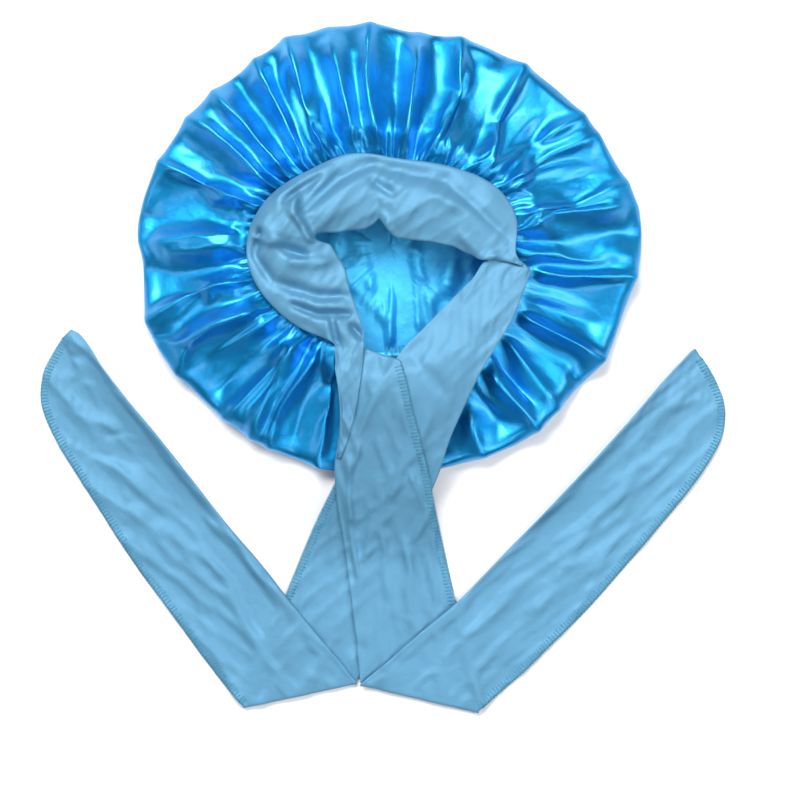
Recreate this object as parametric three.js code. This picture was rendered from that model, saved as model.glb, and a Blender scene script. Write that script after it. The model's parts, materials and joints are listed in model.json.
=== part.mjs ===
// Sleep bonnet: a gathered satin crown, lying mouth up, with a wide strip sewn round its mouth.
// The strip forms the band and both ties. Millimetres, +Z up, +Y to the back of the mouth.
// The origin is on the plane that the bonnet lies on, below the middle of the crown.
import * as THREE from 'three';
import { mergeVertices } from 'three/addons/utils/BufferGeometryUtils.js';

// Crown
const crownWidth = 365;
const crownDepth = 324;
const crownWall = 2;
const rimLoft = 22;
const rimRound = 13;
const gatherHeight = 40;
const seamHeight = 34;
const foldHeight = 9;
const gatherCount = 36;
const gatherRise = 3;

// Mouth
const mouthWidth = 200;
const mouthDepth = 141;

// Strip of the band and the ties
const stripWidth = 72;
const stripThickness = 1.4;
const layGap = 0.4;
const restGap = 0.5;
const bandCrest = 10;
const creaseHeight = 3;

// Ties, from the mouth to their diagonal fold, and from the fold to their tip
const leftFall = 253;
const leftTail = 319;
const rightFall = 347;
const rightTail = 307;
const dropLength = 54;

// Meshing
const pointsPerGather = 3;
const pointsAcross = 5;

// Reach of the folded rim in each direction, as shares of the crown's ellipse
const rimRows = [
  { at: 5, reach: 1.01 },
  { at: 22, reach: 0.975 },
  { at: 50, reach: 0.975 },
  { at: 70, reach: 0.98 },
  { at: 84, reach: 0.97 },
  { at: 93, reach: 1.0 },
  { at: 114, reach: 1.02 },
  { at: 130, reach: 0.99 },
  { at: 158, reach: 0.995 },
  { at: 175, reach: 1.015 },
  { at: 184, reach: 0.993 },
  { at: 201, reach: 1.035 },
  { at: 216, reach: 1.02 },
  { at: 236, reach: 1.035 },
  { at: 262, reach: 1.02 },
  { at: 290, reach: 1.01 },
  { at: 304, reach: 1.015 },
  { at: 321, reach: 0.985 },
  { at: 333, reach: 0.995 },
  { at: 345, reach: 0.98 },
];

// Reach of the mouth's seam in each direction, as shares of the mouth's ellipse
const mouthRows = [
  { at: 0, reach: 0.85 },
  { at: 10, reach: 0.93 },
  { at: 28, reach: 0.94 },
  { at: 51, reach: 0.88 },
  { at: 83, reach: 0.85 },
  { at: 114, reach: 0.94 },
  { at: 138, reach: 0.93 },
  { at: 157, reach: 0.97 },
  { at: 182, reach: 1.02 },
  { at: 209, reach: 1.05 },
  { at: 241, reach: 1.09 },
  { at: 276, reach: 1.1 },
  { at: 294, reach: 0.96 },
  { at: 306, reach: 0.84 },
  { at: 320, reach: 0.73 },
  { at: 340, reach: 0.7 },
];

// Main folds of the crown's top: direction at the mouth and at the rim, where each starts and ends on
// the way from the rim, 0, to the mouth, 1, its half width in degrees, and its share of the fold height
const foldRows = [
  { mouth: 0, rim: 3, from: 0.1, to: 1.0, wide: 5, lift: -0.8 },
  { mouth: 12, rim: 14, from: 0.1, to: 1.0, wide: 5, lift: 0.6 },
  { mouth: 32, rim: 34, from: 0.0, to: 1.0, wide: 5, lift: 0.8 },
  { mouth: 34, rim: 53, from: 0.2, to: 1.0, wide: 5, lift: 0.9 },
  { mouth: 52, rim: 62, from: 0.0, to: 0.9, wide: 6, lift: -0.7 },
  { mouth: 64, rim: 71, from: 0.0, to: 1.0, wide: 5, lift: 0.8 },
  { mouth: 75, rim: 78, from: 0.0, to: 1.0, wide: 4, lift: -0.9 },
  { mouth: 86, rim: 86, from: 0.1, to: 0.6, wide: 5, lift: -0.7 },
  { mouth: 95, rim: 95, from: 0.0, to: 1.0, wide: 5, lift: 0.9 },
  { mouth: 112, rim: 106, from: 0.0, to: 1.0, wide: 6, lift: -0.6 },
  { mouth: 127, rim: 117, from: 0.0, to: 1.0, wide: 5, lift: 0.9 },
  { mouth: 138, rim: 125, from: 0.1, to: 1.0, wide: 4, lift: 0.7 },
  { mouth: 142, rim: 133, from: 0.0, to: 0.9, wide: 4, lift: -0.9 },
  { mouth: 148, rim: 140, from: 0.0, to: 1.0, wide: 4, lift: 0.9 },
  { mouth: 157, rim: 148, from: 0.0, to: 1.0, wide: 5, lift: 0.7 },
  { mouth: 166, rim: 160, from: 0.0, to: 1.0, wide: 5, lift: 0.9 },
  { mouth: 171, rim: 173, from: 0.0, to: 0.9, wide: 5, lift: -0.7 },
  { mouth: 188, rim: 185, from: 0.0, to: 1.0, wide: 4, lift: -0.9 },
  { mouth: 195, rim: 196, from: 0.0, to: 1.0, wide: 5, lift: 0.9 },
  { mouth: 205, rim: 211, from: 0.0, to: 1.0, wide: 5, lift: 0.8 },
  { mouth: 219, rim: 220, from: 0.1, to: 0.9, wide: 5, lift: -0.8 },
  { mouth: 227, rim: 233, from: 0.0, to: 1.0, wide: 4, lift: 0.8 },
  { mouth: 236, rim: 244, from: 0.2, to: 1.0, wide: 4, lift: -0.5 },
  { mouth: 296, rim: 303, from: 0.1, to: 0.8, wide: 5, lift: -0.5 },
  { mouth: 306, rim: 309, from: 0.0, to: 0.9, wide: 4, lift: 0.7 },
  { mouth: 324, rim: 318, from: 0.0, to: 1.0, wide: 5, lift: -0.7 },
  { mouth: 332, rim: 331, from: 0.0, to: 1.0, wide: 4, lift: 0.9 },
  { mouth: 349, rim: 353, from: 0.0, to: 1.0, wide: 4, lift: 0.7 },
];

// Band, from the corner at the right, round the back, to the tip of the fold on the left tie: direction
// of its seam from the crown's middle, seam as a share of the mouth's reach, direction across the strip,
// width as a share of the strip, crest as a share of the band's crest
const bandRows = [
  { at: 351, out: 1.42, across: 186, wide: 0.1, crest: 0.0 },
  { at: 356, out: 1.27, across: 197, wide: 0.27, crest: 0.2 },
  { at: 2, out: 1.08, across: 201, wide: 0.47, crest: 0.4 },
  { at: 10, out: 1.0, across: 207, wide: 0.64, crest: 0.6 },
  { at: 28, out: 1.0, across: 226, wide: 0.79, crest: 0.8 },
  { at: 51, out: 1.0, across: 244, wide: 0.81, crest: 0.9 },
  { at: 83, out: 1.0, across: 266, wide: 0.78, crest: 1.0 },
  { at: 100, out: 1.0, across: 273, wide: 0.72, crest: 0.8 },
  { at: 114, out: 1.0, across: 277, wide: 0.76, crest: 1.0 },
  { at: 138, out: 1.0, across: 294, wide: 0.68, crest: 1.2 },
  { at: 157, out: 1.0, across: 316, wide: 0.6, crest: 1.5 },
  { at: 172, out: 1.0, across: 345, wide: 0.7, crest: 1.4 },
  { at: 182, out: 1.0, across: 361, wide: 0.84, crest: 1.0 },
  { at: 197, out: 1.0, across: 371, wide: 0.89, crest: 0.7 },
  { at: 209, out: 1.0, across: 373, wide: 0.77, crest: 0.8 },
  { at: 223, out: 1.0, across: 375, wide: 0.6, crest: 0.6 },
  { at: 241, out: 1.0, across: 369, wide: 0.3, crest: 0.3 },
  { at: 247, out: 1.22, across: 360, wide: 0.26, crest: 0.2 },
  { at: 252, out: 1.45, across: 360, wide: 0.18, crest: 0.1 },
  { at: 255, out: 1.72, across: 360, wide: 0.11, crest: 0.0 },
  { at: 256, out: 2.0, across: 360, wide: 0.04, crest: 0.0 },
];

// Stretches of the ties. Along is the share of the stretch, shift moves the strip to the left of its
// heading, wide is its flat width, both as shares of the strip, and turn is its skew in degrees
const leftFallRows = [
  { along: 0.0, shift: 0.0, wide: 0.66, turn: -15 },
  { along: 0.08, shift: 0.0, wide: 0.68, turn: -10 },
  { along: 0.16, shift: 0.0, wide: 0.71, turn: -10 },
  { along: 0.24, shift: -0.01, wide: 0.79, turn: -10 },
  { along: 0.33, shift: -0.04, wide: 0.92, turn: -10 },
  { along: 0.43, shift: -0.05, wide: 0.97, turn: -9 },
  { along: 0.55, shift: -0.04, wide: 1.0, turn: -9 },
  { along: 0.66, shift: -0.03, wide: 1.03, turn: -8 },
  { along: 0.77, shift: -0.02, wide: 1.06, turn: -5 },
  { along: 0.88, shift: -0.01, wide: 1.12, turn: -12 },
  { along: 1.0, shift: 0.0, wide: 1.23, turn: -22 },
];
const leftTailRows = [
  { along: 0.0, shift: 0.0, wide: 1.23, turn: 26 },
  { along: 0.08, shift: -0.07, wide: 1.16, turn: 22 },
  { along: 0.16, shift: -0.13, wide: 1.11, turn: 17 },
  { along: 0.26, shift: -0.2, wide: 1.05, turn: 15 },
  { along: 0.37, shift: -0.25, wide: 1.02, turn: 8 },
  { along: 0.5, shift: -0.29, wide: 0.98, turn: 2 },
  { along: 0.63, shift: -0.32, wide: 0.95, turn: -3 },
  { along: 0.76, shift: -0.34, wide: 0.93, turn: -9 },
  { along: 0.86, shift: -0.33, wide: 0.89, turn: -12 },
  { along: 0.92, shift: -0.3, wide: 0.8, turn: -13 },
  { along: 0.96, shift: -0.23, wide: 0.62, turn: -12 },
  { along: 0.985, shift: -0.12, wide: 0.38, turn: -11 },
  { along: 1.0, shift: -0.01, wide: 0.13, turn: -15 },
];
const rightFallRows = [
  { along: 0.0, shift: -0.03, wide: 0.16, turn: -15 },
  { along: 0.03, shift: -0.15, wide: 0.45, turn: -8 },
  { along: 0.08, shift: -0.16, wide: 0.53, turn: -9 },
  { along: 0.15, shift: -0.19, wide: 0.59, turn: -11 },
  { along: 0.22, shift: -0.23, wide: 0.62, turn: -10 },
  { along: 0.29, shift: -0.26, wide: 0.72, turn: -9 },
  { along: 0.38, shift: -0.26, wide: 0.78, turn: -4 },
  { along: 0.46, shift: -0.24, wide: 0.86, turn: 8 },
  { along: 0.54, shift: -0.23, wide: 0.95, turn: 20 },
  { along: 0.63, shift: -0.2, wide: 1.02, turn: 25 },
  { along: 0.74, shift: -0.15, wide: 1.03, turn: 26 },
  { along: 0.84, shift: -0.09, wide: 1.06, turn: 28 },
  { along: 0.93, shift: -0.03, wide: 1.11, turn: 32 },
  { along: 1.0, shift: 0.0, wide: 1.17, turn: 40 },
];
const rightTailRows = [
  { along: 0.0, shift: 0.0, wide: 1.17, turn: -20 },
  { along: 0.09, shift: 0.05, wide: 1.13, turn: -14 },
  { along: 0.19, shift: 0.1, wide: 1.09, turn: -11 },
  { along: 0.32, shift: 0.15, wide: 1.04, turn: -6 },
  { along: 0.44, shift: 0.21, wide: 1.0, turn: -3 },
  { along: 0.56, shift: 0.24, wide: 0.96, turn: -1 },
  { along: 0.68, shift: 0.27, wide: 0.91, turn: 3 },
  { along: 0.79, shift: 0.3, wide: 0.84, turn: 4 },
  { along: 0.88, shift: 0.3, wide: 0.77, turn: 9 },
  { along: 0.93, shift: 0.26, wide: 0.69, turn: 11 },
  { along: 0.97, shift: 0.19, wide: 0.51, turn: 14 },
  { along: 0.99, shift: 0.11, wide: 0.28, turn: 13 },
  { along: 1.0, shift: 0.05, wide: 0.12, turn: 13 },
];

// Where each tie starts on the mouth's seam, and its two headings, in degrees
const leftStart = { at: 258, out: 1.0, fall: -81, tail: 51 };
const rightStart = { at: 350, out: 1.33, fall: -118, tail: 122 };

// Creases of the ties, from one place on a stretch to another: along as shares of the stretch, across
// from the folded edge, 0, to the serged edge, 1, and rise as a share of the crease height
const creaseRows = [
  { on: 'leftFall', along: 0.3, across: 0.75, toAlong: 0.6, toAcross: 0.6, rise: 0.7 },
  { on: 'leftFall', along: 0.5, across: 0.3, toAlong: 0.85, toAcross: 0.35, rise: 0.8 },
  { on: 'leftFall', along: 0.68, across: 0.75, toAlong: 0.85, toAcross: 0.65, rise: 0.5 },
  { on: 'leftTail', along: 0.3, across: 0.3, toAlong: 0.5, toAcross: 0.6, rise: 0.7 },
  { on: 'leftTail', along: 0.55, across: 0.45, toAlong: 0.85, toAcross: 0.3, rise: 0.6 },
  { on: 'leftTail', along: 0.7, across: 0.8, toAlong: 0.88, toAcross: 0.65, rise: 0.5 },
  { on: 'rightFall', along: 0.12, across: 0.4, toAlong: 0.28, toAcross: 0.35, rise: 0.6 },
  { on: 'rightTail', along: 0.28, across: 0.35, toAlong: 0.55, toAcross: 0.55, rise: 0.7 },
  { on: 'rightTail', along: 0.5, across: 0.7, toAlong: 0.8, toAcross: 0.45, rise: 0.6 },
  { on: 'rightTail', along: 0.75, across: 0.25, toAlong: 0.92, toAcross: 0.5, rise: 0.5 },
];

// Small sums that every piece uses
const rad = (degrees) => (degrees * Math.PI) / 180;
const mix = (a, b, t) => a + (b - a) * t;
const clamp = (x, low, high) => Math.min(Math.max(x, low), high);

function smoothStep(low, high, x) {
  const t = clamp((x - low) / (high - low), 0, 1);
  return t * t * (3 - 2 * t);
}

function turnBetween(a, b) {
  return ((a - b + 540) % 360) - 180;
}

// A smooth curve through one column of a table
function throughRows(rows, key, column, x) {
  const last = rows.length - 2;
  let i = 0;
  while (i < last && x > rows[i + 1][key]) i += 1;
  const slope = (j) => {
    const before = rows[Math.max(j - 1, 0)];
    const after = rows[Math.min(j + 1, rows.length - 1)];
    return (after[column] - before[column]) / (after[key] - before[key]);
  };
  const span = rows[i + 1][key] - rows[i][key];
  const t = clamp((x - rows[i][key]) / span, 0, 1);
  const near = (1 + 2 * t) * (1 - t) * (1 - t) * rows[i][column];
  const far = t * t * (3 - 2 * t) * rows[i + 1][column];
  const leave = t * (1 - t) * (1 - t) * span * slope(i);
  const reach = t * t * (t - 1) * span * slope(i + 1);
  return near + far + leave + reach;
}

// The same curve, closed round the full turn
function roundRows(rows, column, degrees) {
  const before = rows.slice(-2).map((row) => ({ ...row, at: row.at - 360 }));
  const after = rows.slice(0, 2).map((row) => ({ ...row, at: row.at + 360 }));
  const at = ((degrees % 360) + 360) % 360;
  return throughRows([...before, ...rows, ...after], 'at', column, at);
}

function ellipseReach(degrees, width, depth) {
  const x = Math.cos(rad(degrees)) / (width / 2);
  const y = Math.sin(rad(degrees)) / (depth / 2);
  return 1 / Math.hypot(x, y);
}

const rimReach = (degrees) =>
  ellipseReach(degrees, crownWidth, crownDepth) * roundRows(rimRows, 'reach', degrees);
const mouthReach = (degrees) =>
  ellipseReach(degrees, mouthWidth, mouthDepth) * roundRows(mouthRows, 'reach', degrees);

// Height of the crown's top cloth, from the rim, way 0, to the mouth, way 1
const crestWay = 0.8;
const foldFade = 0.14;

function foldRise(degrees, way) {
  let rise = 0;
  for (const fold of foldRows) {
    const axis = mix(fold.rim, fold.mouth, way);
    const aside = turnBetween(degrees, axis) / fold.wide;
    const inside = smoothStep(fold.from - foldFade, fold.from + foldFade, way);
    const ending = 1 - smoothStep(fold.to - foldFade, fold.to + foldFade, way);
    rise += fold.lift * Math.exp(-aside * aside) * inside * Math.max(ending, 0.3);
  }
  return rise * foldHeight;
}

function gatherWave(degrees, way) {
  const grown = smoothStep(0.45, 1, way);
  const uneven = 0.75 + 0.25 * Math.sin(rad(degrees * 7 + 40));
  return gatherRise * grown * uneven * Math.cos(rad(degrees * gatherCount));
}

function plainTop(way) {
  const climb = mix(rimLoft, gatherHeight, smoothStep(0, crestWay, way));
  return climb - (gatherHeight - seamHeight) * smoothStep(crestWay, 1, way);
}

// The folds die out into the seam, and the ties press them down
const seamFoldShare = 0.2;
const pressedShare = 0.25;

function crownTop(degrees, way) {
  const out = mix(rimReach(degrees) - rimRound, mouthReach(degrees), way);
  const x = out * Math.cos(rad(degrees));
  const y = out * Math.sin(rad(degrees));
  const pressed = Math.max(coverOf(leftOutline, x, y), coverOf(rightOutline, x, y));
  const sewn = mix(1, seamFoldShare, smoothStep(crestWay, 1, way));
  const texture = foldRise(degrees, way) * sewn + gatherWave(degrees, way);
  return plainTop(way) + texture * mix(1, pressedShare, pressed);
}

// Crown: one cloth wall, from the middle of its floor, round the rim and over the top to the mouth,
// and back along its inner side
const rimAngles = [-90, -45, 0, 45];
const topWays = [0, 0.14, 0.3, 0.46, 0.62, 0.76, 0.88, 0.95, 1];
const rimFoldShare = 0.25;

function crownSection(degrees, inset) {
  const rimEdge = rimReach(degrees);
  const rimMiddle = rimEdge - rimRound;
  const mouthEdge = mouthReach(degrees);
  const points = [];
  for (const angle of rimAngles) {
    const out = rimMiddle + (rimRound - inset) * Math.cos(rad(angle));
    const high = rimLoft / 2 + (rimLoft / 2 - inset) * Math.sin(rad(angle));
    const fold = rimFoldShare * foldRise(degrees, 0) * smoothStep(-90, 90, angle);
    points.push([out, high + fold]);
  }
  for (const way of topWays) {
    const softened = mix(rimFoldShare, 1, smoothStep(0, topWays[2], way));
    const high = crownTop(degrees, way) - (1 - softened) * foldRise(degrees, way);
    points.push([mix(rimMiddle, mouthEdge, way), high - inset]);
  }
  return points;
}

function makeCrown() {
  const segments = gatherCount * pointsPerGather;
  const rings = crownSection(0, 0).length;
  const positions = [0, 0, 0, 0, 0, crownWall];
  const faces = [];
  const outer = (ring, i) => 2 + (i % segments) * 2 * rings + ring;
  const inner = (ring, i) => outer(ring, i) + rings;
  for (let i = 0; i < segments; i += 1) {
    const degrees = (360 * i) / segments;
    for (const inset of [0, crownWall]) {
      for (const [out, high] of crownSection(degrees, inset)) {
        positions.push(out * Math.cos(rad(degrees)), out * Math.sin(rad(degrees)), high);
      }
    }
    faces.push(0, outer(0, i + 1), outer(0, i));
    faces.push(1, inner(0, i), inner(0, i + 1));
    for (let ring = 0; ring < rings - 1; ring += 1) {
      addQuad(faces, outer(ring, i), outer(ring, i + 1), outer(ring + 1, i + 1), outer(ring + 1, i));
      addQuad(faces, inner(ring, i), inner(ring + 1, i), inner(ring + 1, i + 1), inner(ring, i + 1));
    }
    const top = rings - 1;
    addQuad(faces, outer(top, i), outer(top, i + 1), inner(top, i + 1), inner(top, i));
  }
  return closedMesh(positions, faces);
}

function addQuad(faces, a, b, c, d) {
  faces.push(a, b, c, a, c, d);
}

function closedMesh(positions, faces) {
  const geometry = new THREE.BufferGeometry();
  geometry.setAttribute('position', new THREE.Float32BufferAttribute(positions, 3));
  geometry.setIndex(faces);
  return mergeVertices(geometry);
}

// Surface that the strip lies on: just over the crown's folds, down past the rim, and the floor
const restRise = restGap + gatherRise + (seamFoldShare * foldHeight) / 2;

function layHeight(x, y) {
  const degrees = (Math.atan2(y, x) * 180) / Math.PI;
  const out = Math.hypot(x, y);
  const rimEdge = rimReach(degrees);
  const rimMiddle = rimEdge - rimRound;
  const way = clamp((rimMiddle - out) / (rimMiddle - mouthReach(degrees)), 0, 1);
  const fallen = 1 - smoothStep(0, dropLength, out - rimEdge);
  return (plainTop(way) + restRise) * fallen;
}

// Plan of a stretch of the strip: its folded edge and its serged edge at each place
function seamPoint(degrees, share) {
  const out = mouthReach(degrees) * share;
  return [out * Math.cos(rad(degrees)), out * Math.sin(rad(degrees))];
}

function makeStretch(start, heading, length, rows, side) {
  const cos = Math.cos(rad(heading));
  const sin = Math.sin(rad(heading));
  const edgesAt = (along) => {
    const shift = throughRows(rows, 'along', 'shift', along) * stripWidth;
    const half = (throughRows(rows, 'along', 'wide', along) * stripWidth) / 2;
    const across = rad(heading + 90 * side + throughRows(rows, 'along', 'turn', along));
    const x = start[0] + cos * along * length - sin * shift;
    const y = start[1] + sin * along * length + cos * shift;
    const folded = [x - Math.cos(across) * half, y - Math.sin(across) * half];
    const serged = [x + Math.cos(across) * half, y + Math.sin(across) * half];
    return { folded, serged };
  };
  const end = [start[0] + cos * length, start[1] + sin * length];
  return { rows, edgesAt, end };
}

function betweenEdges(edges, share) {
  return [mix(edges.folded[0], edges.serged[0], share), mix(edges.folded[1], edges.serged[1], share)];
}

const leftOrigin = seamPoint(leftStart.at, leftStart.out);
const rightOrigin = seamPoint(rightStart.at, rightStart.out);
const stretches = {};
stretches.leftFall = makeStretch(leftOrigin, leftStart.fall, leftFall, leftFallRows, 1);
stretches.leftTail = makeStretch(stretches.leftFall.end, leftStart.tail, leftTail, leftTailRows, -1);
stretches.rightFall = makeStretch(rightOrigin, rightStart.fall, rightFall, rightFallRows, -1);
stretches.rightTail = makeStretch(stretches.rightFall.end, rightStart.tail, rightTail, rightTailRows, 1);

// How much of a stretch lies below a place: 1 inside its outline, 0 well outside
const coverMargin = 3;
const coverFade = 16;

function outlineOf(stretch) {
  const folded = stretch.rows.map((row) => stretch.edgesAt(row.along).folded);
  const serged = stretch.rows.map((row) => stretch.edgesAt(row.along).serged);
  return [...folded, ...serged.reverse()];
}

function distanceOutside(outline, x, y) {
  let inside = false;
  let nearest = Infinity;
  outline.forEach(([ax, ay], i) => {
    const [bx, by] = outline[(i + 1) % outline.length];
    if (ay > y !== by > y && x < ((bx - ax) * (y - ay)) / (by - ay) + ax) inside = !inside;
    const length = (bx - ax) ** 2 + (by - ay) ** 2;
    const t = clamp(((x - ax) * (bx - ax) + (y - ay) * (by - ay)) / length, 0, 1);
    nearest = Math.min(nearest, Math.hypot(x - mix(ax, bx, t), y - mix(ay, by, t)));
  });
  return inside ? 0 : nearest;
}

const leftOutline = outlineOf(stretches.leftFall);
const rightOutline = outlineOf(stretches.rightFall);
const layPitch = stripThickness + layGap;
const coverOf = (outline, x, y) =>
  1 - smoothStep(coverMargin, coverMargin + coverFade, distanceOutside(outline, x, y));

// Soft creases along a stretch
const creaseWidth = 9;
const creases = creaseRows.map((row) => ({
  on: row.on,
  start: betweenEdges(stretches[row.on].edgesAt(row.along), row.across),
  end: betweenEdges(stretches[row.on].edgesAt(row.toAlong), row.toAcross),
  rise: row.rise * creaseHeight,
}));

function creaseRise(name, x, y) {
  let rise = 0;
  for (const { start, end, rise: top } of creases.filter((crease) => crease.on === name)) {
    const length = (end[0] - start[0]) ** 2 + (end[1] - start[1]) ** 2;
    const along = ((x - start[0]) * (end[0] - start[0]) + (y - start[1]) * (end[1] - start[1])) / length;
    const t = clamp(along, 0, 1);
    const aside = Math.hypot(x - mix(start[0], end[0], t), y - mix(start[1], end[1], t)) / creaseWidth;
    rise = Math.max(rise, top * Math.exp(-aside * aside));
  }
  return rise;
}

// Lowest height of each layer at a place
const onRight = (x, y) => layHeight(x, y) + layPitch * coverOf(rightOutline, x, y);
const onBoth = (x, y) => onRight(x, y) + layPitch * coverOf(leftOutline, x, y);
const rightFallHeight = (x, y) => layHeight(x, y) + creaseRise('rightFall', x, y);
const rightTailHeight = (x, y) => onRight(x, y) + creaseRise('rightTail', x, y);
const leftFallHeight = (x, y) => onRight(x, y) + creaseRise('leftFall', x, y);
const leftTailHeight = (x, y) => onBoth(x, y) + creaseRise('leftTail', x, y);

// A strip of cloth from its stations, each an outer and an inner row of points across it
function makeStrip(stations) {
  const across = stations[0].outer.length;
  const positions = [];
  const faces = [];
  for (const station of stations) {
    for (const point of [...station.outer, ...station.inner]) positions.push(...point);
  }
  const outer = (i, j) => i * 2 * across + j;
  const inner = (i, j) => outer(i, j) + across;
  for (let i = 0; i < stations.length - 1; i += 1) {
    for (let j = 0; j < across - 1; j += 1) {
      addQuad(faces, outer(i, j), outer(i + 1, j), outer(i + 1, j + 1), outer(i, j + 1));
      addQuad(faces, inner(i, j), inner(i, j + 1), inner(i + 1, j + 1), inner(i + 1, j));
    }
    const edge = across - 1;
    addQuad(faces, outer(i, 0), inner(i, 0), inner(i + 1, 0), outer(i + 1, 0));
    addQuad(faces, outer(i, edge), outer(i + 1, edge), inner(i + 1, edge), inner(i, edge));
  }
  const last = stations.length - 1;
  for (let j = 0; j < across - 1; j += 1) {
    addQuad(faces, outer(0, j), outer(0, j + 1), inner(0, j + 1), inner(0, j));
    addQuad(faces, outer(last, j), inner(last, j), inner(last, j + 1), outer(last, j + 1));
  }
  return outwards(closedMesh(positions, faces));
}

// Turns a closed body's faces outwards
function outwards(geometry) {
  const point = geometry.attributes.position;
  const index = geometry.index;
  let volume = 0;
  const corner = [new THREE.Vector3(), new THREE.Vector3(), new THREE.Vector3()];
  for (let i = 0; i < index.count; i += 3) {
    corner.forEach((v, k) => v.fromBufferAttribute(point, index.getX(i + k)));
    volume += corner[0].dot(corner[1].clone().cross(corner[2]));
  }
  if (volume < 0) {
    for (let i = 0; i < index.count; i += 3) {
      const first = index.getX(i);
      index.setX(i, index.getX(i + 1));
      index.setX(i + 1, first);
    }
  }
  return geometry;
}

function rowAcross(edges, height) {
  const row = [];
  for (let j = 0; j <= pointsAcross; j += 1) {
    const [x, y] = betweenEdges(edges, j / pointsAcross);
    row.push([x, y, height(x, y)]);
  }
  return row;
}

// Places along a stretch: each row of its table, and between two rows enough to keep to the step
const fallStep = 6;
const tailStep = 12;

function placesAlong(rows, length, longStep) {
  const places = [];
  rows.forEach((row, i) => {
    if (i > 0) {
      const step = row.along - rows[i - 1].along;
      const parts = Math.max(1, Math.round((step * length) / longStep));
      for (let k = 1; k < parts; k += 1) places.push(mix(rows[i - 1].along, row.along, k / parts));
    }
    places.push(row.along);
  });
  return places;
}

// A tie: it falls from the mouth, is folded over on a diagonal, and runs back on top of itself
function makeTie(fall, fallHeight, fallLength, tail, tailHeight, tailLength) {
  const stations = [];
  for (const along of placesAlong(fall.rows, fallLength, fallStep)) {
    const outer = rowAcross(fall.edgesAt(along), fallHeight);
    const inner = outer.map(([x, y, z]) => [x, y, z + stripThickness]);
    stations.push({ outer, inner });
  }
  const edges = tail.edgesAt(0);
  const heading = Math.atan2(fall.end[1] - stations[0].outer[0][1], fall.end[0] - stations[0].outer[0][0]);
  const line = Math.atan2(edges.serged[1] - edges.folded[1], edges.serged[0] - edges.folded[0]);
  const side = Math.sign(Math.cos(heading - line - Math.PI / 2));
  const out = [Math.cos(line + Math.PI / 2) * side, Math.sin(line + Math.PI / 2) * side];
  const last = stations[stations.length - 1];
  const bend = layPitch;
  stations.push({
    outer: last.outer.map(([x, y, z]) => [x + out[0] * bend, y + out[1] * bend, z + bend - layGap / 2]),
    inner: last.inner.map(([x, y, z]) => [x + out[0] * layGap, y + out[1] * layGap, z + layGap / 2]),
  });
  for (const along of placesAlong(tail.rows, tailLength, tailStep)) {
    const inner = rowAcross(tail.edgesAt(along), tailHeight);
    const outer = inner.map(([x, y, z]) => [x, y, z + stripThickness]);
    stations.push({ outer, inner });
  }
  return makeStrip(stations);
}

// Band: sewn to the mouth and lying inward over it, humped across its width
const bandSteps = 3;
const innerEdgeLift = 0.35;

function bandHeight(x, y, share, crest) {
  const hump = Math.sin(Math.PI * share) + innerEdgeLift * share;
  return onBoth(x, y) + crest * bandCrest * hump;
}

function makeBand() {
  const rows = bandRows.map((row, i) => ({ ...row, place: i }));
  const column = (name, place) => throughRows(rows, 'place', name, place);
  const unwound = rows.map((row) => ({ ...row, at: row.at > 300 ? row.at - 360 : row.at }));
  const stations = [];
  const count = (rows.length - 1) * bandSteps;
  for (let i = 0; i <= count; i += 1) {
    const place = i / bandSteps;
    const at = throughRows(unwound, 'place', 'at', place);
    const seam = seamPoint(at, column('out', place));
    const across = rad(column('across', place));
    const wide = column('wide', place) * stripWidth;
    const fold = [seam[0] + Math.cos(across) * wide, seam[1] + Math.sin(across) * wide];
    const outer = [];
    for (let j = 0; j <= pointsAcross; j += 1) {
      const share = j / pointsAcross;
      const x = mix(seam[0], fold[0], share);
      const y = mix(seam[1], fold[1], share);
      outer.push([x, y, bandHeight(x, y, share, Math.max(column('crest', place), 0))]);
    }
    const inner = outer.map(([x, y, z]) => [x, y, z + stripThickness]);
    stations.push({ outer, inner });
  }
  return makeStrip(stations);
}

// Finishes
const satin = () => new THREE.MeshStandardMaterial({ color: 0x1f8ee0, roughness: 0.32, metalness: 0.15 });
const strip = () => new THREE.MeshStandardMaterial({ color: 0x6aaed6, roughness: 0.6, metalness: 0 });

function addPiece(group, name, geometry, material) {
  const mesh = new THREE.Mesh(geometry, material);
  mesh.name = name;
  group.add(mesh);
}

const group = new THREE.Group();
const { leftFall: leftDown, leftTail: leftUp, rightFall: rightDown, rightTail: rightUp } = stretches;
const leftTie = makeTie(leftDown, leftFallHeight, leftFall, leftUp, leftTailHeight, leftTail);
const rightTie = makeTie(rightDown, rightFallHeight, rightFall, rightUp, rightTailHeight, rightTail);
addPiece(group, 'crown', makeCrown(), satin());
addPiece(group, 'band', makeBand(), strip());
addPiece(group, 'tie_left', leftTie, strip());
addPiece(group, 'tie_right', rightTie, strip());

export default group;
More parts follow.
